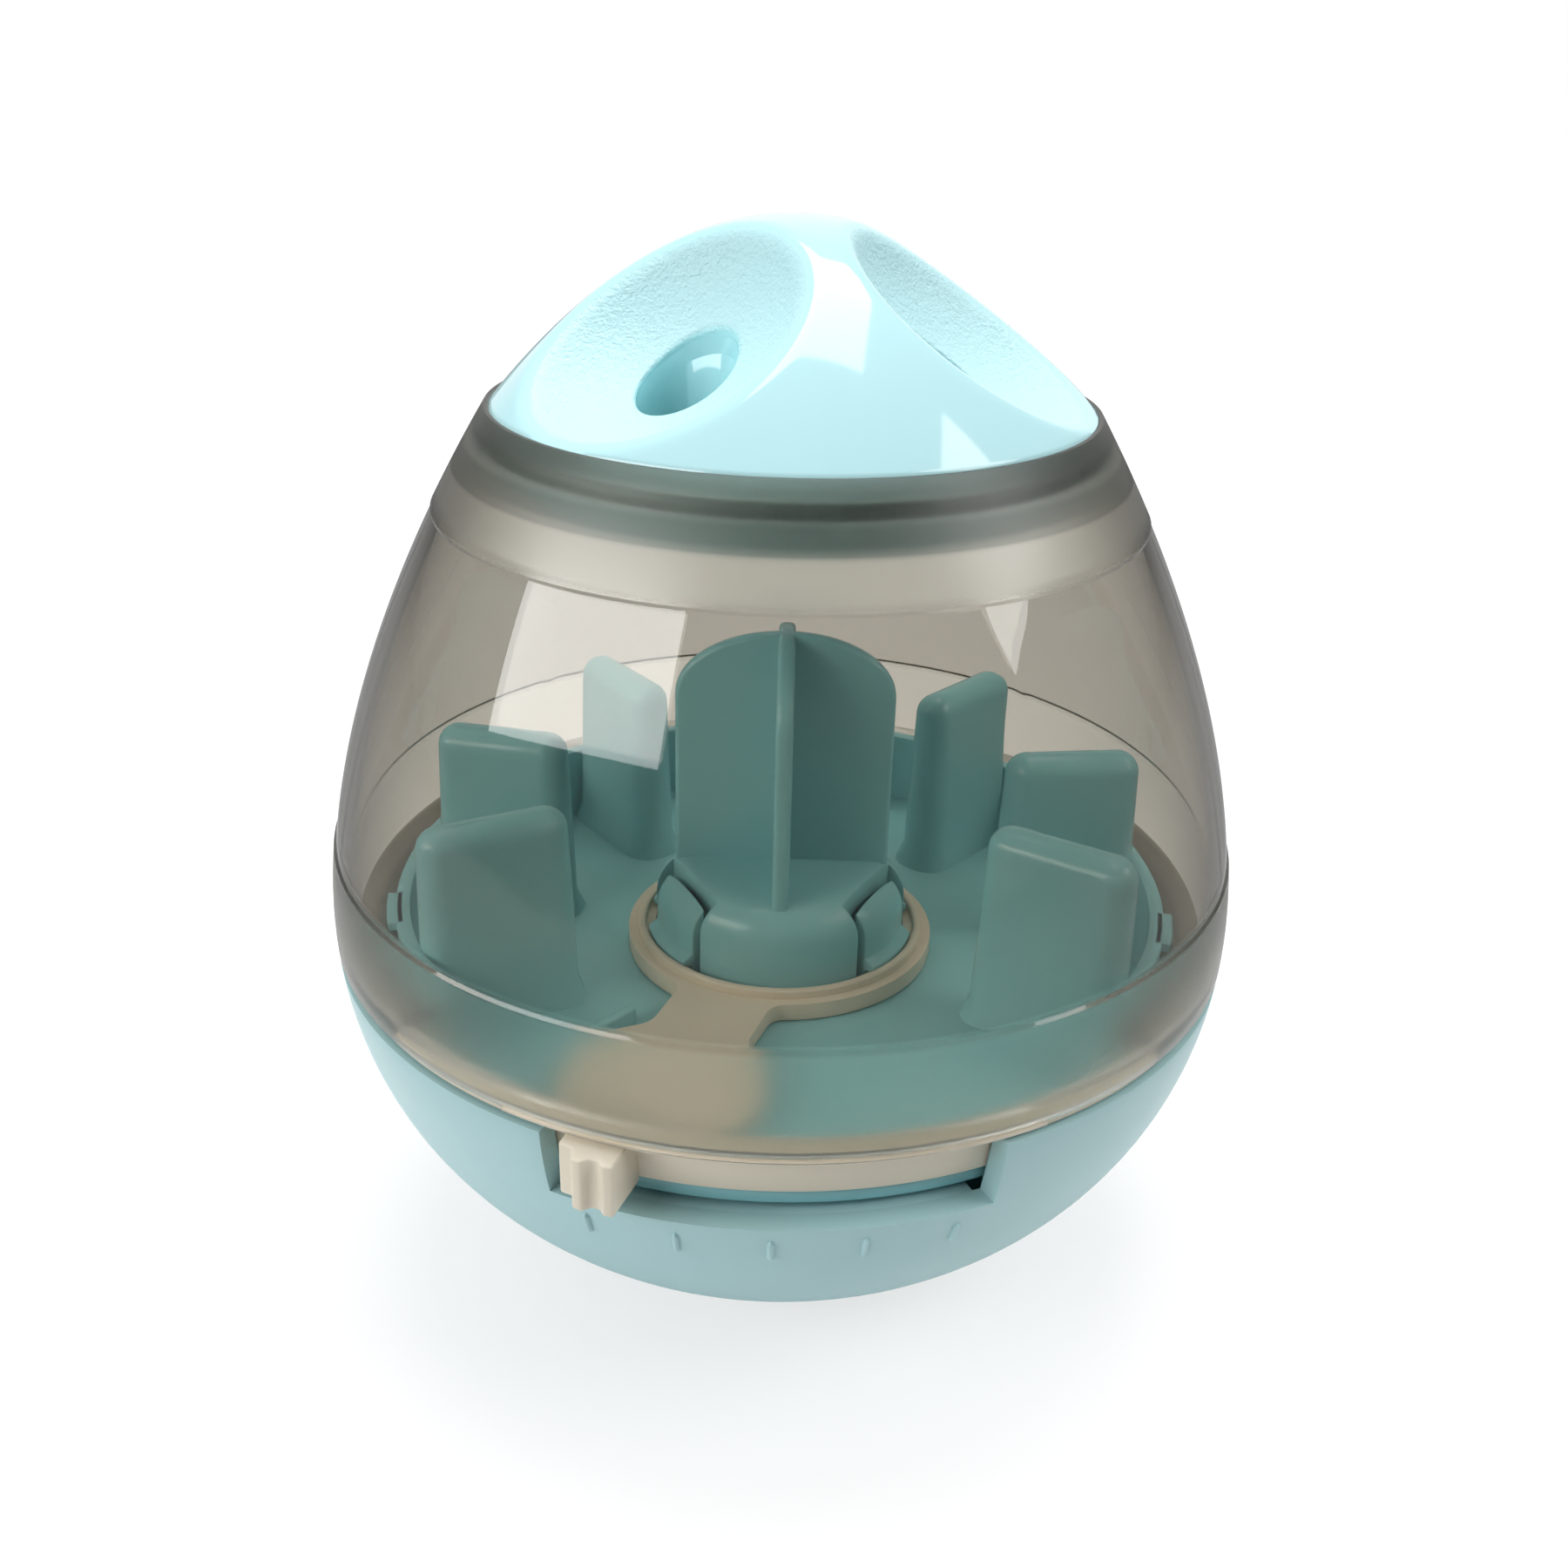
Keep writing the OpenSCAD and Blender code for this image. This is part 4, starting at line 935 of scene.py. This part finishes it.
def blade():
    shoulder, turns = POST_TOP_H - ARCH_H, np.linspace(0, math.pi, 33)
    outline = [(-BLADE_HALF, HUB_IN_TOP_H), (BLADE_HALF, HUB_IN_TOP_H)]
    outline += [(BLADE_HALF * math.cos(a), shoulder + ARCH_H * math.sin(a)) for a in turns]
    sides = [[(x, y, z) for x, z in outline] for y in (-BLADE_T / 2, BLADE_T / 2)]
    return softened(skinned("blade", sides), 0.7, 4)


post_mesh = joined("centre_post", [hub_body(), copies(blade(), 2, 90, 45, MAZE_BLUE)])
show("centre_post_moulding", post_mesh, MAZE_BLUE, "maze", "centre_post")

# %% [markdown]
# ## Regulator
# The sand-coloured lever is one flat moulding: a ring with a raised bead that turns round the
# hub, a neck, the shutter disc over the gate, and a strap out to a band behind the slot. The
# flat parts are joined by booleans first, so one bevel can run round the whole outline.

# %% Ring, neck, shutter and strap
REG_LOW_H, REG_HIGH_H, BORE_R, RING_R = 41.5, 43.8, 17.5, 21.2
NECK_HALF, NECK_ROUND, DISC_ROUND, STRAP_HALF = 6.4, 2.6, 4.0, 10.0
BAND_T, BAND_TOP_R = 1.4, skin_r(FLANGE_LOW_H, BASE_WALL) - (GAP + FIT_GAP)
BEAD_IN, BEAD_W, BEAD_LOW_H, BEAD_TOP_H = 18.8, 1.1, 43.0, 45.0
FLANGE_IN = 0.7
FLANGE_R = skin_r(FLANGE_LOW_H) - FLANGE_IN


def hollow_corner(at_ring):
    """Arc that eases the neck's edge into the ring, or into the shutter disc."""
    r, radius, middle = (NECK_ROUND, RING_R, 0) if at_ring else (DISC_ROUND, SHUTTER_R, -GATE_AT)
    x = NECK_HALF + r
    lean = math.sqrt((radius + r) ** 2 - x * x)
    turn = math.degrees(math.atan2(lean, x))
    if at_ring:
        return arc(x, -lean, r, 180 - turn, 180, 8)
    return arc(x, middle + lean, r, 180, 180 + turn, 8)


def lever_plate():
    ring = turned("ring", section(BORE_R, RING_R, REG_LOW_H, REG_HIGH_H), 160)
    side = hollow_corner(True) + hollow_corner(False) + [(NECK_HALF, -GATE_AT)]
    neck_outline = [(0, -BORE_R - 1), *[(-x, y) for x, y in side], *reversed(side)]
    neck = prism("neck", neck_outline, REG_LOW_H, REG_HIGH_H)
    disc = moved(turned("disc", section(0, SHUTTER_R, REG_LOW_H, REG_HIGH_H), 96), y=-GATE_AT)
    end_r = BAND_R - BAND_T / 2
    lean = math.degrees(math.asin(STRAP_HALF / end_r))
    strap_outline = [(STRAP_HALF, -GATE_AT), (-STRAP_HALF, -GATE_AT)]
    strap_outline += arc(0, 0, end_r, 270 - lean, 270 + lean, 12)
    strap = prism("strap", strap_outline, REG_LOW_H, REG_HIGH_H)
    return tidy(cut_mesh(ring, [neck, disc, strap], "UNION"))


def flattened(mesh):
    """Merges the small faces that a boolean leaves on flat stretches."""
    bm = bmesh.new()
    bm.from_mesh(mesh)
    bmesh.ops.dissolve_limit(bm, angle_limit=math.radians(0.5), verts=bm.verts, edges=bm.edges)
    bm.to_mesh(mesh)
    bm.free()
    return mesh


plate = softened(flattened(lever_plate()), 0.35, 3, 50)
bead = turned("bead", rounded(section(BEAD_IN, BEAD_IN + BEAD_W, BEAD_LOW_H, BEAD_TOP_H), 0.4), 160)
print("Lever plate faces:", len(plate.polygons))

# %% [markdown]
# The band closes the slot from inside, and its flange shows as the thin line in the seam. Both
# are one turned ring with an angled section. The knob that stands out of the slot is a straight
# moulding, and its outline has two crests with a hollow for the fingertip between them.

# %% Band, flange and knob
KNOB_LOW_H, KNOB_OUT = 40.9, 2.9
KNOB_R = skin_r(FLANGE_LOW_H) + KNOB_OUT
# places across the knob's front as shares of its half width, and how far each lies back from the
# crest as a share of how far the knob stands out
KNOB_SHARES = [
    (-1, 0.75), (-1 / 2, 0.66), (-1 / 3, 0.08), (0, 0), (0.22, 0.33), (1 / 2, 0.33), (0.66, 0.08), (1, 0.12)
]


def lever_knob():
    front = [(KNOB_HALF * across, -KNOB_R + KNOB_OUT * back) for across, back in KNOB_SHARES]
    root = -BAND_R + 0.2
    outline = [(-KNOB_HALF, root), *front, (KNOB_HALF, root)]
    return softened(prism("knob", outline, KNOB_LOW_H, FLANGE_LOW_H), 0.35, 3, 25)


band_outline = [
    (BAND_R - BAND_T, REG_LOW_H), (BAND_R, REG_LOW_H), (BAND_TOP_R, FLANGE_LOW_H), (FLANGE_R, FLANGE_LOW_H),
    (FLANGE_R, FLANGE_TOP_H), (BAND_TOP_R - BAND_T, FLANGE_TOP_H)
]
band = turned("band", rounded(band_outline, 0.25, 3), 240)
lever_mesh = moved(joined("regulator", [plate, bead, band, lever_knob()]), turn=LEVER_REST)
show("regulator_moulding", lever_mesh, LEVER_SAND, "lever", "regulator")

# %% [markdown]
# ## Clear shell
# The shell is one wall between two near-parallel curves, with a lip and a seat for the cap at
# its mouth, a ledge at its foot that the collar's lugs hold, and a low apron over the lever's
# slot. As glass it needs one clean closed skin, with no face inside the wall, so all of it is
# one loft: the apron and the four notches in the ledge are columns with their own outline.

# %% The shell's wall
FROST_STEP, FROST_SLOPE, LEDGE_IN, LEDGE_T = 0.25, 0.4, 52.8, 1.6
APRON_DROP, APRON_HALF, APRON_IN = 0.6, 30.5, FLANGE_R + GAP
SEAT_H, SEAT_T, LIP_W, SEAT_W = 114.0, 1.5, 0.5, 2.3
NOTCH_DEEP, LEDGE_NOTCH_HALF, LEDGE_NOTCHES = 53.9, 5.5, (-130, -75, 75, 130)


def shell_outline(apron, ledge_in):
    low = SHELL_LOW_H - APRON_DROP if apron else SHELL_LOW_H
    seat_out = skin_r(MOUTH_H) - LIP_W
    seat_in, seat_low_h, ledge_top = seat_out - SEAT_W, SEAT_H - SEAT_T, SHELL_LOW_H + LEDGE_T
    clear = np.linspace(FROST_LOW_H + FROST_SLOPE, FROST_HIGH_H - FROST_SLOPE, 26)
    outline = [(ledge_in, SHELL_LOW_H), (APRON_IN, SHELL_LOW_H), (APRON_IN, low), (skin_r(low), low)]
    outline += [(skin_r(z), z) for z in np.linspace(SHELL_LOW_H, FROST_LOW_H, 8)]
    outline += [(skin_r(z) - FROST_STEP, z) for z in clear]
    outline += [(skin_r(z), z) for z in np.linspace(FROST_HIGH_H, MOUTH_H, 8)]
    outline += [(seat_out, MOUTH_H), (seat_out, SEAT_H), (seat_in, SEAT_H), (seat_in, seat_low_h)]
    outline += [(skin_r(z, SHELL_WALL), z) for z in np.linspace(seat_low_h, ledge_top, 34)]
    return outline + [(ledge_in, ledge_top)]


def shell_wall():
    notch_edges = [middle + side * LEDGE_NOTCH_HALF for middle in LEDGE_NOTCHES for side in (-1, 1)]
    columns = []
    for angle, side in angles(216, [-APRON_HALF, APRON_HALF, -COLLAR_GAP, COLLAR_GAP] + notch_edges):
        probe = angle + side * 0.01
        ledge_in = LEDGE_IN
        if abs(probe) < COLLAR_GAP:
            ledge_in = skin_r(SHELL_LOW_H, SHELL_WALL)
        elif any(abs(probe - middle) < LEDGE_NOTCH_HALF for middle in LEDGE_NOTCHES):
            ledge_in = NOTCH_DEEP
        columns.append((angle, shell_outline(abs(probe) < APRON_HALF, ledge_in)))
    return column_loft("shell_wall", columns, ring=True)


shell_mesh = softened(shell_wall(), 0.22, 2, 50)
show("clear_shell_moulding", shell_mesh, SMOKED, "top", "clear_shell", smooth=24)

# %% [markdown]
# ## Cap
# The cap is a dome with three dishes scooped out by a ball, and where dome and dish meet the
# edge is soft. A height field suits it: for every direction and radius, a few halvings find the
# height where the rounded meeting of dome and ball changes from plastic to air. The same search
# with a thicker skin gives the underside.

# %% Heights of the cap's two skins
CAP_WALL, SKIRT_OUT, CAP_LOW_H = 2.0, skin_r(MOUTH_H) - LIP_W - SEAT_W - (GAP - FIT_GAP), 107.5
SKIRT_IN, CAP_EDGE_H, RIM_SOFT, UNDER_SOFT = SKIRT_OUT - CAP_WALL, SEAT_H + FIT_GAP, 2.0, 1.3
SEARCH_LOW_H, SEARCH_HIGH_H, HALVINGS = 100.0, 139.2, 40


def soft_max(a, b, soft):
    """The larger of two numbers, blended where they are nearly equal."""
    return np.maximum(a, b) + np.maximum(soft - np.abs(a - b), 0) ** 2 / (4 * soft)


def cap_height(x, y, wall, rim_soft):
    """Height of the cap's skin over points x, y, found by halving."""
    r = np.hypot(x, y)
    low, high = np.full(x.shape, SEARCH_LOW_H), np.full(x.shape, SEARCH_HIGH_H)
    rise, radius = CAP_RISE - wall, CAP_R - wall
    slope = 2 * rise * np.minimum(r, radius) / radius**2
    for _ in range(HALVINGS):
        z = (low + high) / 2
        air = (z - MOUTH_H - rise * (1 - (np.minimum(r, radius) / radius) ** 2)) / np.sqrt(1 + slope**2)
        for angle in DISH_ANGLES:
            cx, cy, _ = around(DISH_AT, angle, 0)
            ball = DISH_R + wall - np.sqrt((x - cx) ** 2 + (y - cy) ** 2 + (z - MOUTH_H - DISH_UP) ** 2)
            air = soft_max(air, ball, rim_soft)
        high = np.where(air > 0, z, high)
        low = np.where(air > 0, low, z)
    return (low + high) / 2


def cap_body():
    turns, rings_out, rings_in = 300, 104, 40
    angle = np.radians(np.arange(turns) * 360 / turns)[:, None]
    outer_r = np.linspace(0, CAP_R, rings_out)[None, :]
    inner_r = np.linspace(SKIRT_IN, 0, rings_in)[None, :]
    top = cap_height(outer_r * np.sin(angle), -outer_r * np.cos(angle), 0.0, RIM_SOFT)
    under = cap_height(inner_r * np.sin(angle), -inner_r * np.cos(angle), CAP_WALL, UNDER_SOFT)
    edge = [(CAP_R, CAP_EDGE_H), (SKIRT_OUT, CAP_EDGE_H)]
    edge += [(SKIRT_OUT, CAP_LOW_H + 0.5), (SKIRT_OUT - 0.5, CAP_LOW_H)]
    edge += [(SKIRT_IN + 0.4, CAP_LOW_H), (SKIRT_IN, CAP_LOW_H + 0.4)]
    columns = []
    for i in range(turns):
        outline = [*zip(outer_r[0], top[i]), *edge, *zip(inner_r[0], under[i])]
        columns.append((math.degrees(angle[i, 0]), outline))
    return column_loft("cap_body", columns, ring=False)


cap_mesh = cap_body()
print("Cap body faces:", len(cap_mesh.polygons))

# %% [markdown]
# An outlet is bored straight down through each dish. Its cutter follows the cap's skin and
# flares where the two meet, so the boolean itself leaves an eased rim. A short tube goes on
# below each outlet, and three hooks on the skirt snap under the shell's seat.

# %% Ducts, bores and snap hooks of the cap
DUCT_LOW_H, DUCT_EDGE, DUCT_TOP_IN = 109.5, 0.3, 1.0
BORE_CLEAR, BORE_STEPS, BORE_START = 0.01, 72, 1.3
HOOK_FOOT_H, HOOK_CREST_H, HOOK_TOP_H, HOOK_OUT, HOOK_ANGLE = 108.0, 111.4, 112.4, 1.0, 16
# growth of a bore's radius and height over the cap's skin, from the straight bore to its eased rim
BORE_RIM = [(0, -0.5), (0.06, -0.28), (0.2, -0.12), (0.45, 0.03), (0.6, 6.0)]


def bore_ring(angle, radius, wall=None, lift=0.0, level=None):
    """A ring round an outlet, level, or following the cap's skin at a wall's depth."""
    cx, cy, _ = around(OUTLET_AT, angle, 0)
    t = np.radians(np.arange(BORE_STEPS) * 360 / BORE_STEPS + BORE_START)
    x, y = cx + radius * np.cos(t), cy + radius * np.sin(t)
    z = cap_height(x, y, wall, UNDER_SOFT) + lift if level is None else np.full(BORE_STEPS, float(level))
    return [tuple(map(float, p)) for p in zip(x, y, z)]


def bore_tool(angle):
    """The cutter of one outlet, flared at its top so that the rim comes out eased."""
    rings = [bore_ring(angle, OUTLET_R, level=SEARCH_LOW_H)]
    rings += [bore_ring(angle, OUTLET_R + growth, 0.0, lift) for growth, lift in BORE_RIM]
    n = len(rings[0])
    points, faces = [p for ring in rings for p in ring], row_faces(len(rings), n)
    for start, ring in ((0, rings[0]), ((len(rings) - 1) * n, rings[-1])):
        points.append(tuple(sum(p[k] for p in ring) / n for k in range(3)))
        faces += [(start + j, start + (j + 1) % n, len(points) - 1) for j in range(n)]
    return clean_mesh("bore", points, faces)


def duct(angle):
    """The tube under an outlet. Its top ends inside the cap's wall."""
    bore_r, edge_h = OUTLET_R + BORE_CLEAR, DUCT_LOW_H + DUCT_EDGE
    rings = [bore_ring(angle, DUCT_R, DUCT_TOP_IN), bore_ring(angle, DUCT_R, level=edge_h)]
    rings += [bore_ring(angle, r, level=DUCT_LOW_H) for r in (DUCT_R - DUCT_EDGE, OUTLET_R + DUCT_EDGE)]
    rings += [bore_ring(angle, bore_r, level=edge_h), bore_ring(angle, bore_r, DUCT_TOP_IN)]
    rings.append(rings[0])
    return clean_mesh("duct", [p for ring in rings for p in ring], row_faces(len(rings), len(rings[0])))


def snap_hook():
    root, tip = SKIRT_OUT - HOOK_OUT, SKIRT_OUT + HOOK_OUT
    outline = [(root, HOOK_FOOT_H), (tip, HOOK_CREST_H), (tip, HOOK_TOP_H), (root, HOOK_TOP_H)]
    return arc_block("hook", outline, HOOK_ANGLE / 2, 8)


cap_mesh = cut_mesh(cap_mesh, [bore_tool(a) for a in DISH_ANGLES], "DIFFERENCE")
print("Cap faces after the bores:", len(cap_mesh.polygons))
hooks = copies(snap_hook(), 3, 120, DISH_TURN + 180, CAP_BLUE)
cap_mesh = joined("cap", [cap_mesh, hooks, *[duct(a) for a in DISH_ANGLES]])
show("cap_moulding", cap_mesh, CAP_BLUE, "top", "cap", smooth=50)

# %% [markdown]
# ## Carried-over nodes
# The counterweight, its cover and the screws are right as they were built in CAD, so their own
# nodes stay and only get a finish.

# %% Finish the hidden hardware
HIDDEN_FINISHES = {
    "counterweight": CAST_IRON, "weight_cover": BOWL_BLUE,
    "weight_screws": PLATED_STEEL, "post_screw": PLATED_STEEL
}
for node, material in HIDDEN_FINISHES.items():
    obj = nodes[node]
    obj.data.materials.clear()
    obj.data.materials.append(material)
    print(node, "wears", material.name)

# %% [markdown]
# ## Floor
# The photograph is cut out on white, and the ball was lit by soft boxes over a pale table in a
# dark room. So the floor is white only to straight sight, which is a camera ray, or one that
# nothing but glass has passed on. To every ray that has bounced, it is a pale sheet under the
# ball on a darker table. The white is left a little short of full near the ball, so that its
# shadow shows on the floor.

# %% The floor
SHEET_PALE, TABLE_GREY, GLOW = (0.86, 0.86, 0.86), (0.24, 0.24, 0.24), 1.05
SHEET_FROM, SHEET_TO, WHITE_FROM, WHITE_TO = 0.08, 0.17, 0.1, 0.6
SHADOW_SHARE, WHITE_SHARE = 0.62, 0.95


def straight_sight(tree, path):
    """1 for a camera ray, or one that only glass has passed on, and 0 once it has bounced."""
    seen = combined(tree, "MAXIMUM", path.outputs["Is Camera Ray"], path.outputs["Is Transmission Ray"])
    bounced = combined(tree, "MAXIMUM", path.outputs["Diffuse Depth"], path.outputs["Glossy Depth"])
    return combined(tree, "SUBTRACT", seen, bounced, clamped=True)


def floor_material():
    material, tree, skin = start_material("white_sweep")
    skin.inputs["Roughness"].default_value = 0.9
    path, glow = tree.nodes.new("ShaderNodeLightPath"), tree.nodes.new("ShaderNodeEmission")
    glow.inputs["Strength"].default_value = GLOW
    seen = straight_sight(tree, path)
    apart = tree.nodes.new("ShaderNodeVectorMath")
    apart.operation = "LENGTH"
    tree.links.new(own_place(tree), apart.inputs[0])
    distance = apart.outputs["Value"]
    pale = combined(tree, "MAXIMUM", spread(tree, distance, 1.0, 0.0, SHEET_FROM, SHEET_TO), seen)
    tree.links.new(two_tone(tree, pale, TABLE_GREY, SHEET_PALE), skin.inputs["Base Color"])
    white = spread(tree, distance, SHADOW_SHARE, WHITE_SHARE, WHITE_FROM, WHITE_TO)
    lit = either(tree, combined(tree, "MULTIPLY", white, seen), skin.outputs[0], glow.outputs[0])
    tree.links.new(lit, tree.nodes["Material Output"].inputs["Surface"])
    return material


bpy.ops.mesh.primitive_plane_add(size=6, location=(0, 0, 0))
floor = bpy.context.object
floor.name = "sweep_floor"
floor.data.materials.append(floor_material())
print("Floor:", floor.name, "with", floor.data.materials[0].name)

# %% [markdown]
# ## World
# The world is white to straight sight too. A glossy surface mirrors a dim room that is bright at
# the back, and light that has left a dull surface meets a soft glow from above and behind. The
# Light Path node tells these rays apart, so one world can be all three.

# %% The world
world = bpy.context.scene.world or bpy.data.worlds.new("studio")
bpy.context.scene.world = world
world.use_nodes = True
sky = world.node_tree
for node in list(sky.nodes):
    sky.nodes.remove(node)
path, out = sky.nodes.new("ShaderNodeLightPath"), sky.nodes.new("ShaderNodeOutputWorld")
plain, white = sky.nodes.new("ShaderNodeBackground"), sky.nodes.new("ShaderNodeBackground")
toward = sky.nodes.new("ShaderNodeTexCoord").outputs["Generated"]


def facing_share(direction, low, high, from_low, from_high):
    """A strength that grows as a ray turns towards a direction."""
    dot = sky.nodes.new("ShaderNodeVectorMath")
    dot.operation = "DOT_PRODUCT"
    dot.inputs[1].default_value = direction
    sky.links.new(toward, dot.inputs[0])
    return spread(sky, dot.outputs["Value"], low, high, from_low, from_high)


for background in (plain, white):
    background.inputs["Color"].default_value = (1, 1, 1, 1)
from_above = facing_share((0, 0.5, 0.8), low=0.04, high=1.1, from_low=0.0, from_high=0.9)
sky.links.new(from_above, plain.inputs["Strength"])
in_gloss = facing_share((0, 1, 0), low=0.22, high=1.0, from_low=0.72, from_high=0.97)
sky.links.new(combined(sky, "MAXIMUM", straight_sight(sky, path), in_gloss), white.inputs["Strength"])
undimmed = spread(sky, path.outputs["Diffuse Depth"], 1.0, 0.0, 0.0, 1.0)
sky.links.new(either(sky, undimmed, plain.outputs[0], white.outputs[0]), out.inputs["Surface"])
bpy.context.scene.view_settings.view_transform = "Standard"
print("World:", world.name)

# %% [markdown]
# ## Soft boxes
# The photograph tells where its lamps stood: the wide one at the left shows as the bright
# window in the shell's upper wall, and the one at the right as the small wedge. Each box is
# turned so that its long side follows its reflection's edge, and a third one fills from above.


# %% Soft boxes
def soft_box(name, place, aim, size, power, along=(1, 0, 0)):
    """An area lamp that faces a point, its long side turned towards a direction."""
    data = bpy.data.lights.new(name, "AREA")
    data.shape, data.size, data.size_y, data.energy = "RECTANGLE", size[0], size[1], power
    lamp = bpy.data.objects.new(name, data)
    bpy.context.scene.collection.objects.link(lamp)
    back = (Vector(place) - Vector(aim)).normalized()
    side = Vector(along)
    side = (side - back * side.dot(back)).normalized()
    turn = Matrix((side, back.cross(side), back)).transposed().to_4x4()
    lamp.matrix_world = Matrix.Translation(place) @ turn
    return lamp


SHELL_MIDDLE, BALL_MIDDLE = (0, 0, 0.09), (0, 0, 0.08)
LEFT_ALONG, RIGHT_ALONG = (0.49, -0.70, 0.17), (0.11, 0.965, 0.237)
soft_box("left_box", (-0.743, -0.45, 0.45), SHELL_MIDDLE, size=(0.86, 0.315), power=5.8, along=LEFT_ALONG)
soft_box("right_box", (0.753, -0.177, 0.68), SHELL_MIDDLE, size=(0.5, 0.5), power=4.2, along=RIGHT_ALONG)
soft_box("top_box", (0.0, 0.25, 1.0), BALL_MIDDLE, size=(0.62, 0.62), power=7.0)
